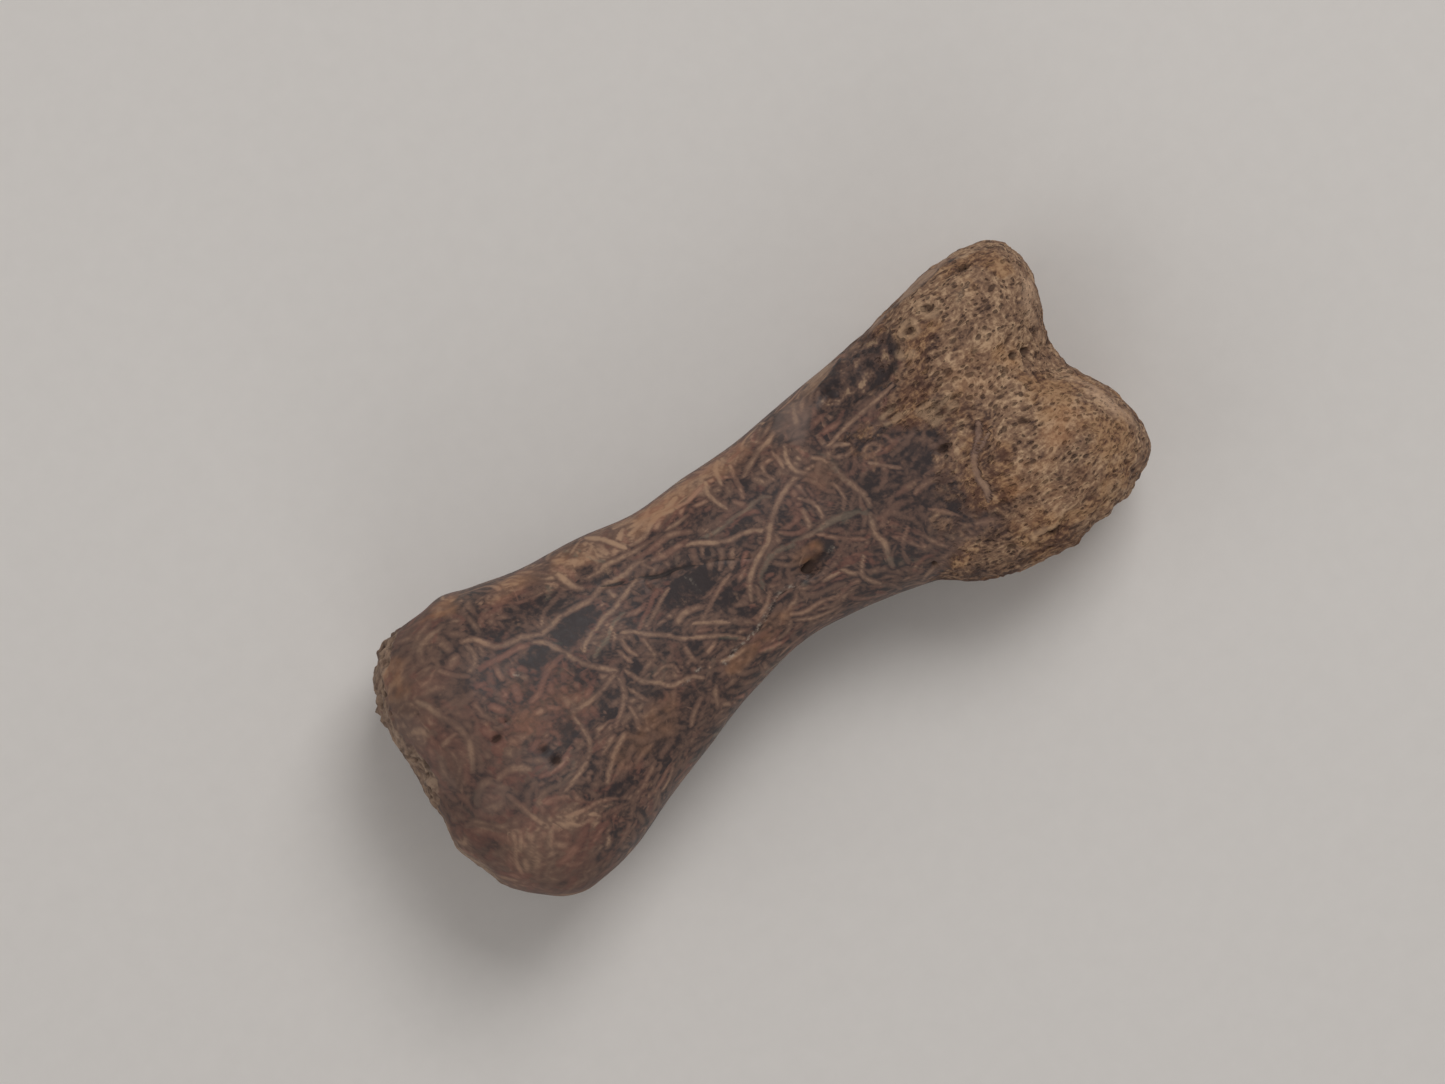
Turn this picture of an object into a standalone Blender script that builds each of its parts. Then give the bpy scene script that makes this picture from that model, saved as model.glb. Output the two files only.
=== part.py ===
"""Fossil dinosaur toe bone: one phalanx, lying on its underside with its broad upper face up.

The bone is one closed solid. It is a loft of rounded sections carried along +X, closed by a rounded
cap at each end, and then shaped by a few soft hollows, lobes and ledges. The -X end met the bone
behind it and is a shallow socket. The +X end is a knuckle with two lobes and a groove between them.
The bone touches the ground plane z = 0 at two heels under the socket and under both knuckle lobes.
"""

import bpy
import numpy as np

MM = 0.001

# Driving dimensions, in millimetres
SOCKET_END = -19.35
KNUCKLE_END = 19.15
SOCKET_CAP = 4.8
KNUCKLE_CAP = 4.7

# Sections along the bone, in millimetres: x, both side edges, underside, widest level and top
STATIONS = np.array((
    (-18.0, -7.25, 7.50, 0.20, 5.4, 11.5),
    (-14.5, -7.60, 7.50, 0.20, 5.6, 11.7),
    (-12.0, -7.25, 7.36, 0.60, 5.8, 11.1),
    (-9.0, -6.08, 6.68, 1.20, 5.9, 10.2),
    (-6.0, -5.16, 6.15, 1.80, 5.9, 9.6),
    (-3.0, -4.30, 5.62, 2.15, 5.9, 9.3),
    (0.0, -3.87, 5.77, 2.25, 5.8, 9.2),
    (3.0, -4.15, 5.72, 2.15, 5.7, 9.2),
    (6.0, -4.87, 5.90, 1.75, 5.5, 9.4),
    (9.0, -5.70, 6.20, 1.00, 5.2, 9.9),
    (12.0, -7.00, 6.80, 0.45, 5.0, 10.3),
    (14.5, -7.32, 7.22, 0.20, 5.0, 10.4),
    (17.5, -6.68, 6.90, 0.20, 4.9, 10.2),
))

# How square the sections are at the socket, the shaft and the knuckle: 2 is an ellipse
SQUARENESS_AT = (-15.0, 0.0, 14.0)
SQUARENESS = (2.7, 2.3, 2.9)

# How square each cap is on its -Y side, its +Y side, over its top edge and under its lower edge
SOCKET_CAP_SQUARENESS = (2.1, 2.6, 3.2, 2.8)
KNUCKLE_CAP_SQUARENESS = (5.0, 5.0, 3.4, 2.4)

# Soft features of the socket's face: height along x, centre across and up, and their half widths
SOCKET_FEATURES = {
    "dish": (1.0, (0.2, 5.2), (4.4, 3.2)),
    "keel down the dish": (-0.4, (0.2, 5.2), (1.3, 3.2)),
    "lip of the larger lobe": (-0.5, (-2.5, 7.5), (1.5, 3.5)),
    "corner of the larger lobe": (-0.42, (-5.2, 5.5), (1.3, 4.0)),
}
SOCKET_LEAN = 0.12
SOCKET_LEAN_LEVEL = 4.0

# The groove between the knuckle's lobes, and how far their faces lean back above a level
GROOVE_DEPTH = 1.6
GROOVE_CENTRE = 0.6
GROOVE_HALF_WIDTH = 2.85
KNUCKLE_LEAN = 0.05
KNUCKLE_LEAN_LEVEL = 5.0

# Soft features of the sides: height along y, centre along and up, and their half widths
LIGAMENT_HOLLOW = (-0.85, (13.6, 4.0), (1.9, 1.6))
BUMP_BY_THE_SOCKET = (0.25, (-12.8, 6.4), (0.9, 1.6))

# The ledge along the knuckle's -Y side
LEDGE_WIDTH = 0.75
LEDGE_RISE = (6.9, 8.4)
LEDGE_FALL = (15.5, 9.0)
LEDGE_LEVEL = 6.6
LEDGE_HALF_HEIGHT = 2.4

# Soft features of the upper face: height along z, centre along and across, and their half widths
TOP_FEATURES = {
    "larger lobe over the socket": (0.7, (-15.6, -4.3), (3.0, 2.6)),
    "smaller lobe over the socket": (0.35, (-15.8, 4.0), (2.8, 2.6)),
    "valley between those lobes": (-0.45, (-17.0, -0.2), (3.0, 1.6)),
    "hollow over the knuckle's groove": (-1.5, (16.2, 0.7), (2.6, 2.1)),
    "swelling of the knuckle's -Y lobe": (0.55, (14.8, -3.3), (2.6, 1.9)),
    "chipped patch by the crest": (-0.5, (8.9, 4.7), (2.0, 0.8)),
    "broken hole in the shaft": (-0.5, (2.4, -1.1), (0.8, 0.45)),
    "dimple by the rim": (-0.3, (17.4, 4.3), (0.8, 1.3)),
}
CREST_HEIGHT = 0.35
CREST_RISE = (5.0, 9.0)
CREST_Y = 5.9
CREST_HALF_WIDTH = 0.9

# Soft features of the underside, given in the same way
UNDERSIDE_FEATURES = {
    "hollow between the heels": (1.3, (-16.0, 0.1), (5.0, 2.4)),
    "hollow between the knuckle's lobes": (1.9, (16.4, 0.7), (4.4, 2.3)),
}

# Where the bone rests: the two heels under the socket, and the two lobes under the knuckle
GROUND = 0.0
FEET = ((-15.0, -4.6), (-15.0, 4.5), (14.6, -4.3), (14.6, 4.6))
FOOT_DROP = 1.15
FOOT_HALF_WIDTHS = (2.6, 2.2)

# Slow swelling and shrinking of the whole bone, long and short waves
LONG_SWELL = 0.05
SHORT_SWELL = 0.02

# Where the end faces, the side faces and the upper and lower faces take over from one another
END_BLEND = (0.1, 0.9)
SIDE_BLEND = (0.5, 0.9)
FACE_BLEND = (0.15, 0.75)

# Mesh density
RINGS_ALONG_SHAFT = 66
RINGS_PER_CAP = 12
POINTS_AROUND = 50

BONE_COLOUR = (0.124, 0.079, 0.057, 1.0)
BONE_ROUGHNESS = 0.6


def clear_scene():
    for obj in list(bpy.data.objects):
        bpy.data.objects.remove(obj)


def smoothstep(low, high, value):
    """0 below low, 1 above high, and a smooth S between them."""
    t = np.clip((value - low) / (high - low), 0.0, 1.0)
    return t * t * (3.0 - 2.0 * t)


def bell(u, centre, half_width):
    """A smooth hump: 1 at the centre, falling to 0.37 one half width away."""
    return np.exp(-(((u - centre) / half_width) ** 2))


def spot(u, v, centre, half_widths):
    """A soft round spot on the plane of u and v, from 1 at its centre down to 0."""
    return bell(u, centre[0], half_widths[0]) * bell(v, centre[1], half_widths[1])


def soft_feature(u, v, feature):
    """The height of one soft feature: its full height times its spot."""
    height, centre, half_widths = feature
    return height * spot(u, v, centre, half_widths)


def curve_through(x, knots, values):
    """A smooth cubic curve through hand-chosen values at the knots, held level past both ends."""
    slopes = np.gradient(values, knots)
    i = np.clip(np.searchsorted(knots, x) - 1, 0, len(knots) - 2)
    span = knots[i + 1] - knots[i]
    t = np.clip((x - knots[i]) / span, 0.0, 1.0)
    start = (1 + 2 * t) * (1 - t) ** 2 * values[i] + t * (1 - t) ** 2 * span * slopes[i]
    end = t * t * (3 - 2 * t) * values[i + 1] + t * t * (t - 1) * span * slopes[i + 1]
    return start + end


def squared_circle(angle, squareness):
    """Points of a superellipse, |a|^n + |b|^n = 1, spread evenly by their direction."""
    a = np.cos(angle)
    b = np.sin(angle)
    reach = (np.abs(a) ** squareness + np.abs(b) ** squareness) ** (1.0 / squareness)
    return a / reach, b / reach


def cap_squareness(around, squareness):
    """A cap's squareness in each direction around the bone, blended from its four values."""
    low_side, high_side, top, under = squareness
    upright = np.sin(around) ** 2
    side = np.where(np.cos(around) > 0, high_side, low_side)
    return side * (1 - upright) + np.where(np.sin(around) > 0, top, under) * upright


def bone_grid(along, around):
    """x, and how far each point lies out from the bone's middle line, for every ring.

    along runs from -1 at the socket's pole to 0 and 1 at the two ends of the shaft and 2 at the
    knuckle's pole. Past the shaft, a ring shrinks towards its pole along a superellipse.
    """
    socket_start = SOCKET_END + SOCKET_CAP
    knuckle_start = KNUCKLE_END - KNUCKLE_CAP
    shaft = np.clip(along, 0.0, 1.0)
    x = socket_start + shaft * (knuckle_start - socket_start) + 0.0 * around

    socket_turn = np.clip(-along, 0.0, 1.0) * np.pi / 2
    out, past = squared_circle(socket_turn, cap_squareness(around, SOCKET_CAP_SQUARENESS))
    x = x - SOCKET_CAP * past
    knuckle_turn = np.clip(along - 1.0, 0.0, 1.0) * np.pi / 2
    knuckle_out, knuckle_past = squared_circle(
        knuckle_turn, cap_squareness(around, KNUCKLE_CAP_SQUARENESS)
    )
    x = x + KNUCKLE_CAP * knuckle_past
    return x, out * knuckle_out, past, knuckle_past


def bone_surface(along, around):
    """Points of the bone, in millimetres, for every pair of along and around."""
    x, out, at_socket, at_knuckle = bone_grid(along, around)
    knots = STATIONS[:, 0]
    low_y, high_y, under, middle, top = (
        curve_through(x, knots, STATIONS[:, column]) for column in range(1, 6)
    )
    squareness = np.interp(x, SQUARENESS_AT, SQUARENESS)
    across, upward = squared_circle(around, squareness)
    centre_y = (low_y + high_y) / 2
    y = centre_y + out * across * (high_y - low_y) / 2
    z = middle + out * upward * np.where(upward > 0, top - middle, middle - under)
    facing_up = smoothstep(*FACE_BLEND, upward * out)
    facing_down = smoothstep(*FACE_BLEND, -upward * out)
    swell = unevenness(x, y, z) * out
    x = x + end_shape(y, z, at_socket, at_knuckle)
    y = y + side_shape(x, z, across) * out + swell * across
    z = z + top_shape(x, y) * facing_up + underside_shape(x, y) * facing_down + swell * upward
    return x, y, np.maximum(z, GROUND)


def end_shape(y, z, at_socket, at_knuckle):
    """How far the two ends depart from plain caps, along x: the socket's dish, the knuckle's groove."""
    face = sum(soft_feature(y, z, feature) for feature in SOCKET_FEATURES.values())
    lean = SOCKET_LEAN * (z - SOCKET_LEAN_LEVEL)
    socket = smoothstep(*END_BLEND, at_socket) * (face + lean)
    groove = GROOVE_DEPTH * bell(y, GROOVE_CENTRE, GROOVE_HALF_WIDTH)
    lean_back = KNUCKLE_LEAN * np.maximum(z - KNUCKLE_LEAN_LEVEL, 0.0)
    knuckle = smoothstep(*END_BLEND, at_knuckle) * (groove + lean_back)
    return socket - knuckle


def side_shape(x, z, across):
    """The ligament hollow on each side of the knuckle, the ledge on its -Y side and a bump, along y."""
    on_side = smoothstep(*SIDE_BLEND, np.abs(across)) * np.sign(across)
    hollow = soft_feature(x, z, LIGAMENT_HOLLOW)
    ledge = LEDGE_WIDTH * smoothstep(*LEDGE_RISE, x) * smoothstep(*LEDGE_FALL, x)
    ledge = ledge * bell(z, LEDGE_LEVEL, LEDGE_HALF_HEIGHT) * (across < 0)
    bump = soft_feature(x, z, BUMP_BY_THE_SOCKET) * (across > 0)
    return (hollow + ledge + bump) * on_side


def top_shape(x, y):
    """The soft features of the upper face and the crest along it, along z."""
    crest = CREST_HEIGHT * smoothstep(*CREST_RISE, x) * bell(y, CREST_Y, CREST_HALF_WIDTH)
    return crest + sum(soft_feature(x, y, feature) for feature in TOP_FEATURES.values())


def underside_shape(x, y):
    """The soft hollows of the underside and the feet pressed down beside them, along z."""
    hollows = sum(soft_feature(x, y, feature) for feature in UNDERSIDE_FEATURES.values())
    return hollows - FOOT_DROP * sum(spot(x, y, foot, FOOT_HALF_WIDTHS) for foot in FEET)


def unevenness(x, y, z):
    """Slow, slight swelling and shrinking of the whole bone, so that no stretch of it is regular."""
    long_waves = np.sin(0.62 * x + 1.1) * np.sin(0.75 * y - 0.4) + np.sin(0.48 * x - 0.7 * z + 2.0)
    short_waves = np.sin(1.3 * x + 0.5 * y + 0.3) * np.sin(0.9 * z + 1.1 * y + 1.7)
    return LONG_SWELL * long_waves + SHORT_SWELL * short_waves


def ring_positions():
    """Where the rings lie along the bone, leaving out the two poles."""
    socket = np.linspace(-1, 0, RINGS_PER_CAP + 1)[1:-1]
    shaft = np.linspace(0, 1, RINGS_ALONG_SHAFT)
    knuckle = np.linspace(1, 2, RINGS_PER_CAP + 1)[1:-1]
    return np.concatenate((socket, shaft, knuckle))


def loft_mesh(name):
    """The loft between unlike sections: quads between rings, and a fan of triangles at each pole."""
    along = ring_positions()[:, None]
    around = np.linspace(0, 2 * np.pi, POINTS_AROUND, endpoint=False)[None, :]
    rings = np.stack(bone_surface(along, around), axis=-1).reshape(-1, 3)
    poles = np.stack(bone_surface(np.array([[-1.0], [2.0]]), np.array([[0.0]])), axis=-1)
    points = np.concatenate((rings, poles.reshape(-1, 3))) * MM

    ring = np.arange(len(along) - 1)[:, None] * POINTS_AROUND
    here = np.arange(POINTS_AROUND)[None, :]
    beside = (here + 1) % POINTS_AROUND
    quads = np.stack(
        (ring + here, ring + beside, ring + POINTS_AROUND + beside, ring + POINTS_AROUND + here), axis=-1
    ).reshape(-1, 4)
    last_ring = (len(along) - 1) * POINTS_AROUND
    socket_pole = len(rings)
    knuckle_pole = socket_pole + 1
    faces = quads.tolist()
    faces += [(socket_pole, (i + 1) % POINTS_AROUND, i) for i in range(POINTS_AROUND)]
    faces += [
        (knuckle_pole, last_ring + i, last_ring + (i + 1) % POINTS_AROUND) for i in range(POINTS_AROUND)
    ]
    mesh = bpy.data.meshes.new(name)
    mesh.from_pydata(points.tolist(), [], faces)
    mesh.shade_smooth()
    return mesh


def bone_material():
    material = bpy.data.materials.new("fossil_bone")
    material.use_nodes = True
    shader = material.node_tree.nodes["Principled BSDF"]
    shader.inputs["Base Color"].default_value = BONE_COLOUR
    shader.inputs["Roughness"].default_value = BONE_ROUGHNESS
    shader.inputs["Metallic"].default_value = 0.0
    return material


def main():
    clear_scene()
    collection = bpy.data.collections.new("fossil_toe_bone")
    bpy.context.scene.collection.children.link(collection)
    bone = bpy.data.objects.new("toe_bone", loft_mesh("toe_bone"))
    bone.data.materials.append(bone_material())
    collection.objects.link(bone)


main()
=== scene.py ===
# %% [markdown]
# # A fossil toe bone, modelled and dressed in Blender
# The real object is one small bone from a dinosaur's toe, 38 mm long. It has a waisted shaft, a
# socket at one end and a knuckle with two lobes at the other. The shaft is smooth and dark, and fine
# roots once left a felt of paler lines all over it. The knuckle is worn down to grainy, porous bone.
#
# The lesson has three parts: the shape, worked out with numpy as one closed surface; the markings,
# stored on that surface as a few named values; and the finish, a node material that reads them.

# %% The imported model, which fixes the bone's size and place
import math

import bpy
import numpy as np
from mathutils import Matrix, Vector


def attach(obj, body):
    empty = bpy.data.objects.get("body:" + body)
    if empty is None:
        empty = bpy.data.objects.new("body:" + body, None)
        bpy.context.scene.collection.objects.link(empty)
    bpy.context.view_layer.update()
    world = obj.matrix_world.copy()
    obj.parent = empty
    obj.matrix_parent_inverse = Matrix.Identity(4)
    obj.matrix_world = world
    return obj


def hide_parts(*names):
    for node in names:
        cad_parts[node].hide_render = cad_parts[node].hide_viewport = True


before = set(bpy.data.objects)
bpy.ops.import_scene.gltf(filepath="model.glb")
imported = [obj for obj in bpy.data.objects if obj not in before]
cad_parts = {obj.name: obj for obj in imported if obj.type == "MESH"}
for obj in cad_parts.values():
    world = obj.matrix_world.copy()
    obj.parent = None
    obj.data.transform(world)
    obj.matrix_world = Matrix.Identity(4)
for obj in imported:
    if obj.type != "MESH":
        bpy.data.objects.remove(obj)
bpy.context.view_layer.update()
MM = 0.001

# %% [markdown]
# ## The main form
# The bone could be sculpted by hand, but a formula can be read, changed and repeated. It is a loft:
# rounded sections carried along X, each with its own side edges, underside, widest level and top. At
# both ends the sections shrink to a point along a superellipse, which closes the surface. A few soft
# bumps and hollows are then added to it. The values are those of the solid model, in millimetres.

# %% Driving values of the form, in millimetres
SOCKET_END = -19.35
KNUCKLE_END = 19.15
SOCKET_CAP = 4.8
KNUCKLE_CAP = 4.7

# Sections along the bone, in millimetres: x, both side edges, underside, widest level and top
STATIONS = np.array((
    (-18.0, -7.25, 7.50, 0.20, 5.4, 11.5),
    (-14.5, -7.60, 7.50, 0.20, 5.6, 11.7),
    (-12.0, -7.25, 7.36, 0.60, 5.8, 11.1),
    (-9.0, -6.08, 6.68, 1.20, 5.9, 10.2),
    (-6.0, -5.16, 6.15, 1.80, 5.9, 9.6),
    (-3.0, -4.30, 5.62, 2.15, 5.9, 9.3),
    (0.0, -3.87, 5.77, 2.25, 5.8, 9.2),
    (3.0, -4.15, 5.72, 2.15, 5.7, 9.2),
    (6.0, -4.87, 5.90, 1.75, 5.5, 9.4),
    (9.0, -5.70, 6.20, 1.00, 5.2, 9.9),
    (12.0, -7.00, 6.80, 0.45, 5.0, 10.3),
    (14.5, -7.32, 7.22, 0.20, 5.0, 10.4),
    (17.5, -6.68, 6.90, 0.20, 4.9, 10.2),
))

# How square the sections are at the socket, the shaft and the knuckle: 2 is an ellipse
SQUARENESS_AT = (-15.0, 0.0, 14.0)
SQUARENESS = (2.7, 2.3, 2.9)

# How square each cap is on its -Y side, its +Y side, over its top edge and under its lower edge
SOCKET_CAP_SQUARENESS = (2.1, 2.6, 3.2, 2.8)
KNUCKLE_CAP_SQUARENESS = (5.0, 5.0, 3.4, 2.4)

# Soft features of the socket's face: height along x, centre across and up, and their half widths
SOCKET_FEATURES = {
    "dish": (1.0, (0.2, 5.2), (4.4, 3.2)),
    "keel down the dish": (-0.4, (0.2, 5.2), (1.3, 3.2)),
    "lip of the larger lobe": (-0.5, (-2.5, 7.5), (1.5, 3.5)),
    "corner of the larger lobe": (-0.42, (-5.2, 5.5), (1.3, 4.0)),
}
SOCKET_LEAN = 0.12
SOCKET_LEAN_LEVEL = 4.0

# The groove between the knuckle's lobes, and how far their faces lean back above a level
GROOVE_DEPTH = 1.6
GROOVE_CENTRE = 0.6
GROOVE_HALF_WIDTH = 2.85
KNUCKLE_LEAN = 0.05
KNUCKLE_LEAN_LEVEL = 5.0

# Soft features of the sides: height along y, centre along and up, and their half widths
LIGAMENT_HOLLOW = (-0.85, (13.6, 4.0), (1.9, 1.6))
BUMP_BY_THE_SOCKET = (0.25, (-12.8, 6.4), (0.9, 1.6))

# The ledge along the knuckle's -Y side
LEDGE_WIDTH = 0.75
LEDGE_RISE = (6.9, 8.4)
LEDGE_FALL = (15.5, 9.0)
LEDGE_LEVEL = 6.6
LEDGE_HALF_HEIGHT = 2.4

# Soft features of the upper face: height along z, centre along and across, and their half widths
TOP_FEATURES = {
    "larger lobe over the socket": (0.7, (-15.6, -4.3), (3.0, 2.6)),
    "smaller lobe over the socket": (0.35, (-15.8, 4.0), (2.8, 2.6)),
    "valley between those lobes": (-0.45, (-17.0, -0.2), (3.0, 1.6)),
    "hollow over the knuckle's groove": (-1.5, (16.2, 0.7), (2.6, 2.1)),
    "swelling of the knuckle's -Y lobe": (0.55, (14.8, -3.3), (2.6, 1.9)),
    "chipped patch by the crest": (-0.5, (8.9, 4.7), (2.0, 0.8)),
    "broken hole in the shaft": (-0.5, (2.4, -1.1), (0.8, 0.45)),
    "dimple by the rim": (-0.3, (17.4, 4.3), (0.8, 1.3)),
}
CREST_HEIGHT = 0.35
CREST_RISE = (5.0, 9.0)
CREST_Y = 5.9
CREST_HALF_WIDTH = 0.9

# Soft features of the underside, given in the same way
UNDERSIDE_FEATURES = {
    "hollow between the heels": (1.3, (-16.0, 0.1), (5.0, 2.4)),
    "hollow between the knuckle's lobes": (1.9, (16.4, 0.7), (4.4, 2.3)),
}

# Where the bone rests: the two heels under the socket, and the two lobes under the knuckle
GROUND = 0.0
FEET = ((-15.0, -4.6), (-15.0, 4.5), (14.6, -4.3), (14.6, 4.6))
FOOT_DROP = 1.15
FOOT_HALF_WIDTHS = (2.6, 2.2)

# Slow swelling and shrinking of the whole bone, long and short waves
LONG_SWELL = 0.05
SHORT_SWELL = 0.02

# Where the end faces, the side faces and the upper and lower faces take over from one another
END_BLEND = (0.1, 0.9)
SIDE_BLEND = (0.5, 0.9)
FACE_BLEND = (0.15, 0.75)


# %% Small curves that everything else is made from
def pairs(row):
    """The points of a row x1, y1, x2, y2 and so on."""
    return np.reshape(np.array(row, float), (-1, 2))


def smoothstep(low, high, value):
    """0 below low, 1 above high, and a smooth S between them."""
    t = np.clip((value - low) / (high - low), 0.0, 1.0)
    return t * t * (3.0 - 2.0 * t)


def bell(u, centre, half_width):
    """A smooth hump: 1 at the centre, falling to 0.37 one half width away."""
    return np.exp(-(((u - centre) / half_width) ** 2))


def spot(u, v, centre, half_widths):
    """A soft round spot on the plane of u and v, from 1 at its centre down to 0."""
    return bell(u, centre[0], half_widths[0]) * bell(v, centre[1], half_widths[1])


def soft_features(u, v, *features):
    """The height of soft features added up: the full height of each times its spot."""
    return sum(height * spot(u, v, centre, half_widths) for height, centre, half_widths in features)


def curve_through(x, knots, values):
    """A smooth cubic curve through given values at the knots, held level past both ends."""
    slopes = np.gradient(values, knots)
    i = np.clip(np.searchsorted(knots, x) - 1, 0, len(knots) - 2)
    span = knots[i + 1] - knots[i]
    t = np.clip((x - knots[i]) / span, 0.0, 1.0)
    start = (1 + 2 * t) * (1 - t) ** 2 * values[i] + t * (1 - t) ** 2 * span * slopes[i]
    end = t * t * (3 - 2 * t) * values[i + 1] + t * t * (t - 1) * span * slopes[i + 1]
    return start + end


def curve_over(u, row):
    """A smooth curve through points u, v, which are given as a row of pairs."""
    return curve_through(u, *pairs(row).T)


def squared_circle(angle, squareness):
    """Points of a superellipse, |a|^n + |b|^n = 1, spread evenly by their direction."""
    a = np.cos(angle)
    b = np.sin(angle)
    reach = (np.abs(a) ** squareness + np.abs(b) ** squareness) ** (1.0 / squareness)
    return a / reach, b / reach


def cap_squareness(around, squareness):
    """A cap's squareness in each direction around the bone, blended from its four values."""
    low_side, high_side, top, under = squareness
    upright = np.sin(around) ** 2
    side = np.where(np.cos(around) > 0, high_side, low_side)
    return side * (1 - upright) + np.where(np.sin(around) > 0, top, under) * upright


# %% Bumps and hollows of the main form
def end_shape(y, z, at_socket, at_knuckle):
    """How far the two ends depart from plain caps, along x: the socket's dish, the knuckle's groove."""
    face = soft_features(y, z, *SOCKET_FEATURES.values())
    lean = SOCKET_LEAN * (z - SOCKET_LEAN_LEVEL)
    socket = smoothstep(*END_BLEND, at_socket) * (face + lean)
    groove = GROOVE_DEPTH * bell(y, GROOVE_CENTRE, GROOVE_HALF_WIDTH)
    lean_back = KNUCKLE_LEAN * np.maximum(z - KNUCKLE_LEAN_LEVEL, 0.0)
    knuckle = smoothstep(*END_BLEND, at_knuckle) * (groove + lean_back)
    return socket - knuckle


def side_shape(x, z, across):
    """The ligament hollow on each side of the knuckle, the ledge on its -Y side and a bump, along y."""
    on_side = smoothstep(*SIDE_BLEND, np.abs(across)) * np.sign(across)
    hollow = soft_features(x, z, LIGAMENT_HOLLOW)
    ledge = LEDGE_WIDTH * smoothstep(*LEDGE_RISE, x) * smoothstep(*LEDGE_FALL, x)
    ledge = ledge * bell(z, LEDGE_LEVEL, LEDGE_HALF_HEIGHT) * (across < 0)
    bump = soft_features(x, z, BUMP_BY_THE_SOCKET) * (across > 0)
    return (hollow + ledge + bump) * on_side


def top_shape(x, y):
    """The soft features of the upper face and the crest along it, along z."""
    crest = CREST_HEIGHT * smoothstep(*CREST_RISE, x) * bell(y, CREST_Y, CREST_HALF_WIDTH)
    return crest + soft_features(x, y, *TOP_FEATURES.values())


def underside_shape(x, y):
    """The soft hollows of the underside and the feet pressed down beside them, along z."""
    hollows = soft_features(x, y, *UNDERSIDE_FEATURES.values())
    return hollows - FOOT_DROP * sum(spot(x, y, foot, FOOT_HALF_WIDTHS) for foot in FEET)


def unevenness(x, y, z):
    """Slow, slight swelling and shrinking of the whole bone, so that no stretch of it is regular."""
    long_waves = np.sin(0.62 * x + 1.1) * np.sin(0.75 * y - 0.4) + np.sin(0.48 * x - 0.7 * z + 2.0)
    short_waves = np.sin(1.3 * x + 0.5 * y + 0.3) * np.sin(0.9 * z + 1.1 * y + 1.7)
    return LONG_SWELL * long_waves + SHORT_SWELL * short_waves


# %% The surface as a function of two parameters
def bone_grid(along, around):
    """x of each point, how far out it lies from the bone's middle line, and how far into each cap.

    along runs from -1 at the socket's pole to 0 and 1 at the two ends of the shaft and 2 at the
    knuckle's pole. Past the shaft, a ring shrinks towards its pole along a superellipse.
    """
    socket_start = SOCKET_END + SOCKET_CAP
    knuckle_start = KNUCKLE_END - KNUCKLE_CAP
    x = socket_start + np.clip(along, 0.0, 1.0) * (knuckle_start - socket_start)
    ends = ((-along, SOCKET_CAP_SQUARENESS), (along - 1.0, KNUCKLE_CAP_SQUARENESS))
    (socket_out, at_socket), (knuckle_out, at_knuckle) = (
        squared_circle(np.clip(past, 0.0, 1.0) * np.pi / 2, cap_squareness(around, squareness))
        for past, squareness in ends
    )
    x = x - SOCKET_CAP * at_socket + KNUCKLE_CAP * at_knuckle
    return x, socket_out * knuckle_out, at_socket, at_knuckle


def bone_surface(along, around):
    """Points of the bone's main form, as an array ending in x, y, z, in millimetres."""
    x, out, at_socket, at_knuckle = bone_grid(along, around)
    knots, *columns = STATIONS.T
    low_y, high_y, under, middle, top = (curve_through(x, knots, column) for column in columns)
    squareness = np.interp(x, SQUARENESS_AT, SQUARENESS)
    across, upward = squared_circle(around, squareness)
    centre_y = (low_y + high_y) / 2
    y = centre_y + out * across * (high_y - low_y) / 2
    z = middle + out * upward * np.where(upward > 0, top - middle, middle - under)
    facing_up = smoothstep(*FACE_BLEND, upward * out)
    facing_down = smoothstep(*FACE_BLEND, -upward * out)
    swell = unevenness(x, y, z) * out
    x = x + end_shape(y, z, at_socket, at_knuckle)
    y = y + side_shape(x, z, across) * out + swell * across
    z = z + top_shape(x, y) * facing_up + underside_shape(x, y) * facing_down + swell * upward
    return np.stack((x, y, z), axis=-1)


# %% [markdown]
# ## The grid of points
# The surface is sampled on rings. The upper face, which carries the finest marks, gets its points
# closer together than the underside. Beyond the first and last ring a single point, the pole, closes
# the surface.

# %% Sample the surface on a grid
RINGS_PER_CAP = 70
RINGS_ALONG_SHAFT = 250
POINTS_AROUND = 254
CROWDING_ON_TOP = 0.36

cap_steps = np.linspace(0, 1, RINGS_PER_CAP + 1)[1:]
along = np.concatenate((cap_steps[:-1] - 1, np.linspace(0, 1, RINGS_ALONG_SHAFT), 1 + cap_steps[:-1]))
turn = np.linspace(0, 2 * np.pi, POINTS_AROUND, endpoint=False)
around = turn + CROWDING_ON_TOP * np.cos(turn)
base = bone_surface(along[:, None], around[None, :])
pole_points = bone_surface(np.array([-1.0, 2.0]), np.array([0.0, 0.0]))
print("rings:", base.shape[0], "points around:", base.shape[1])


# %% Normals of the grid
def grid_normals(points):
    """Unit normals: the cross product of the steps around and along, which points outwards."""
    step_around = np.roll(points, -1, axis=1) - np.roll(points, 1, axis=1)
    step_along = np.gradient(points, axis=0)
    normal = np.cross(step_around, step_along)
    return normal / np.linalg.norm(normal, axis=-1, keepdims=True)


normals = grid_normals(base)
x, y, z = base[..., 0], base[..., 1], base[..., 2]
plan = base[..., :2]
GRID = base.shape[:2]
facing_up = smoothstep(0.05, 0.45, normals[..., 2])
hidden = 1 - facing_up
on_top = normals[..., 2] > 0.02
print("normals point up on", f"{(normals[..., 2] > 0).mean():.0%}", "of the points")

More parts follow.
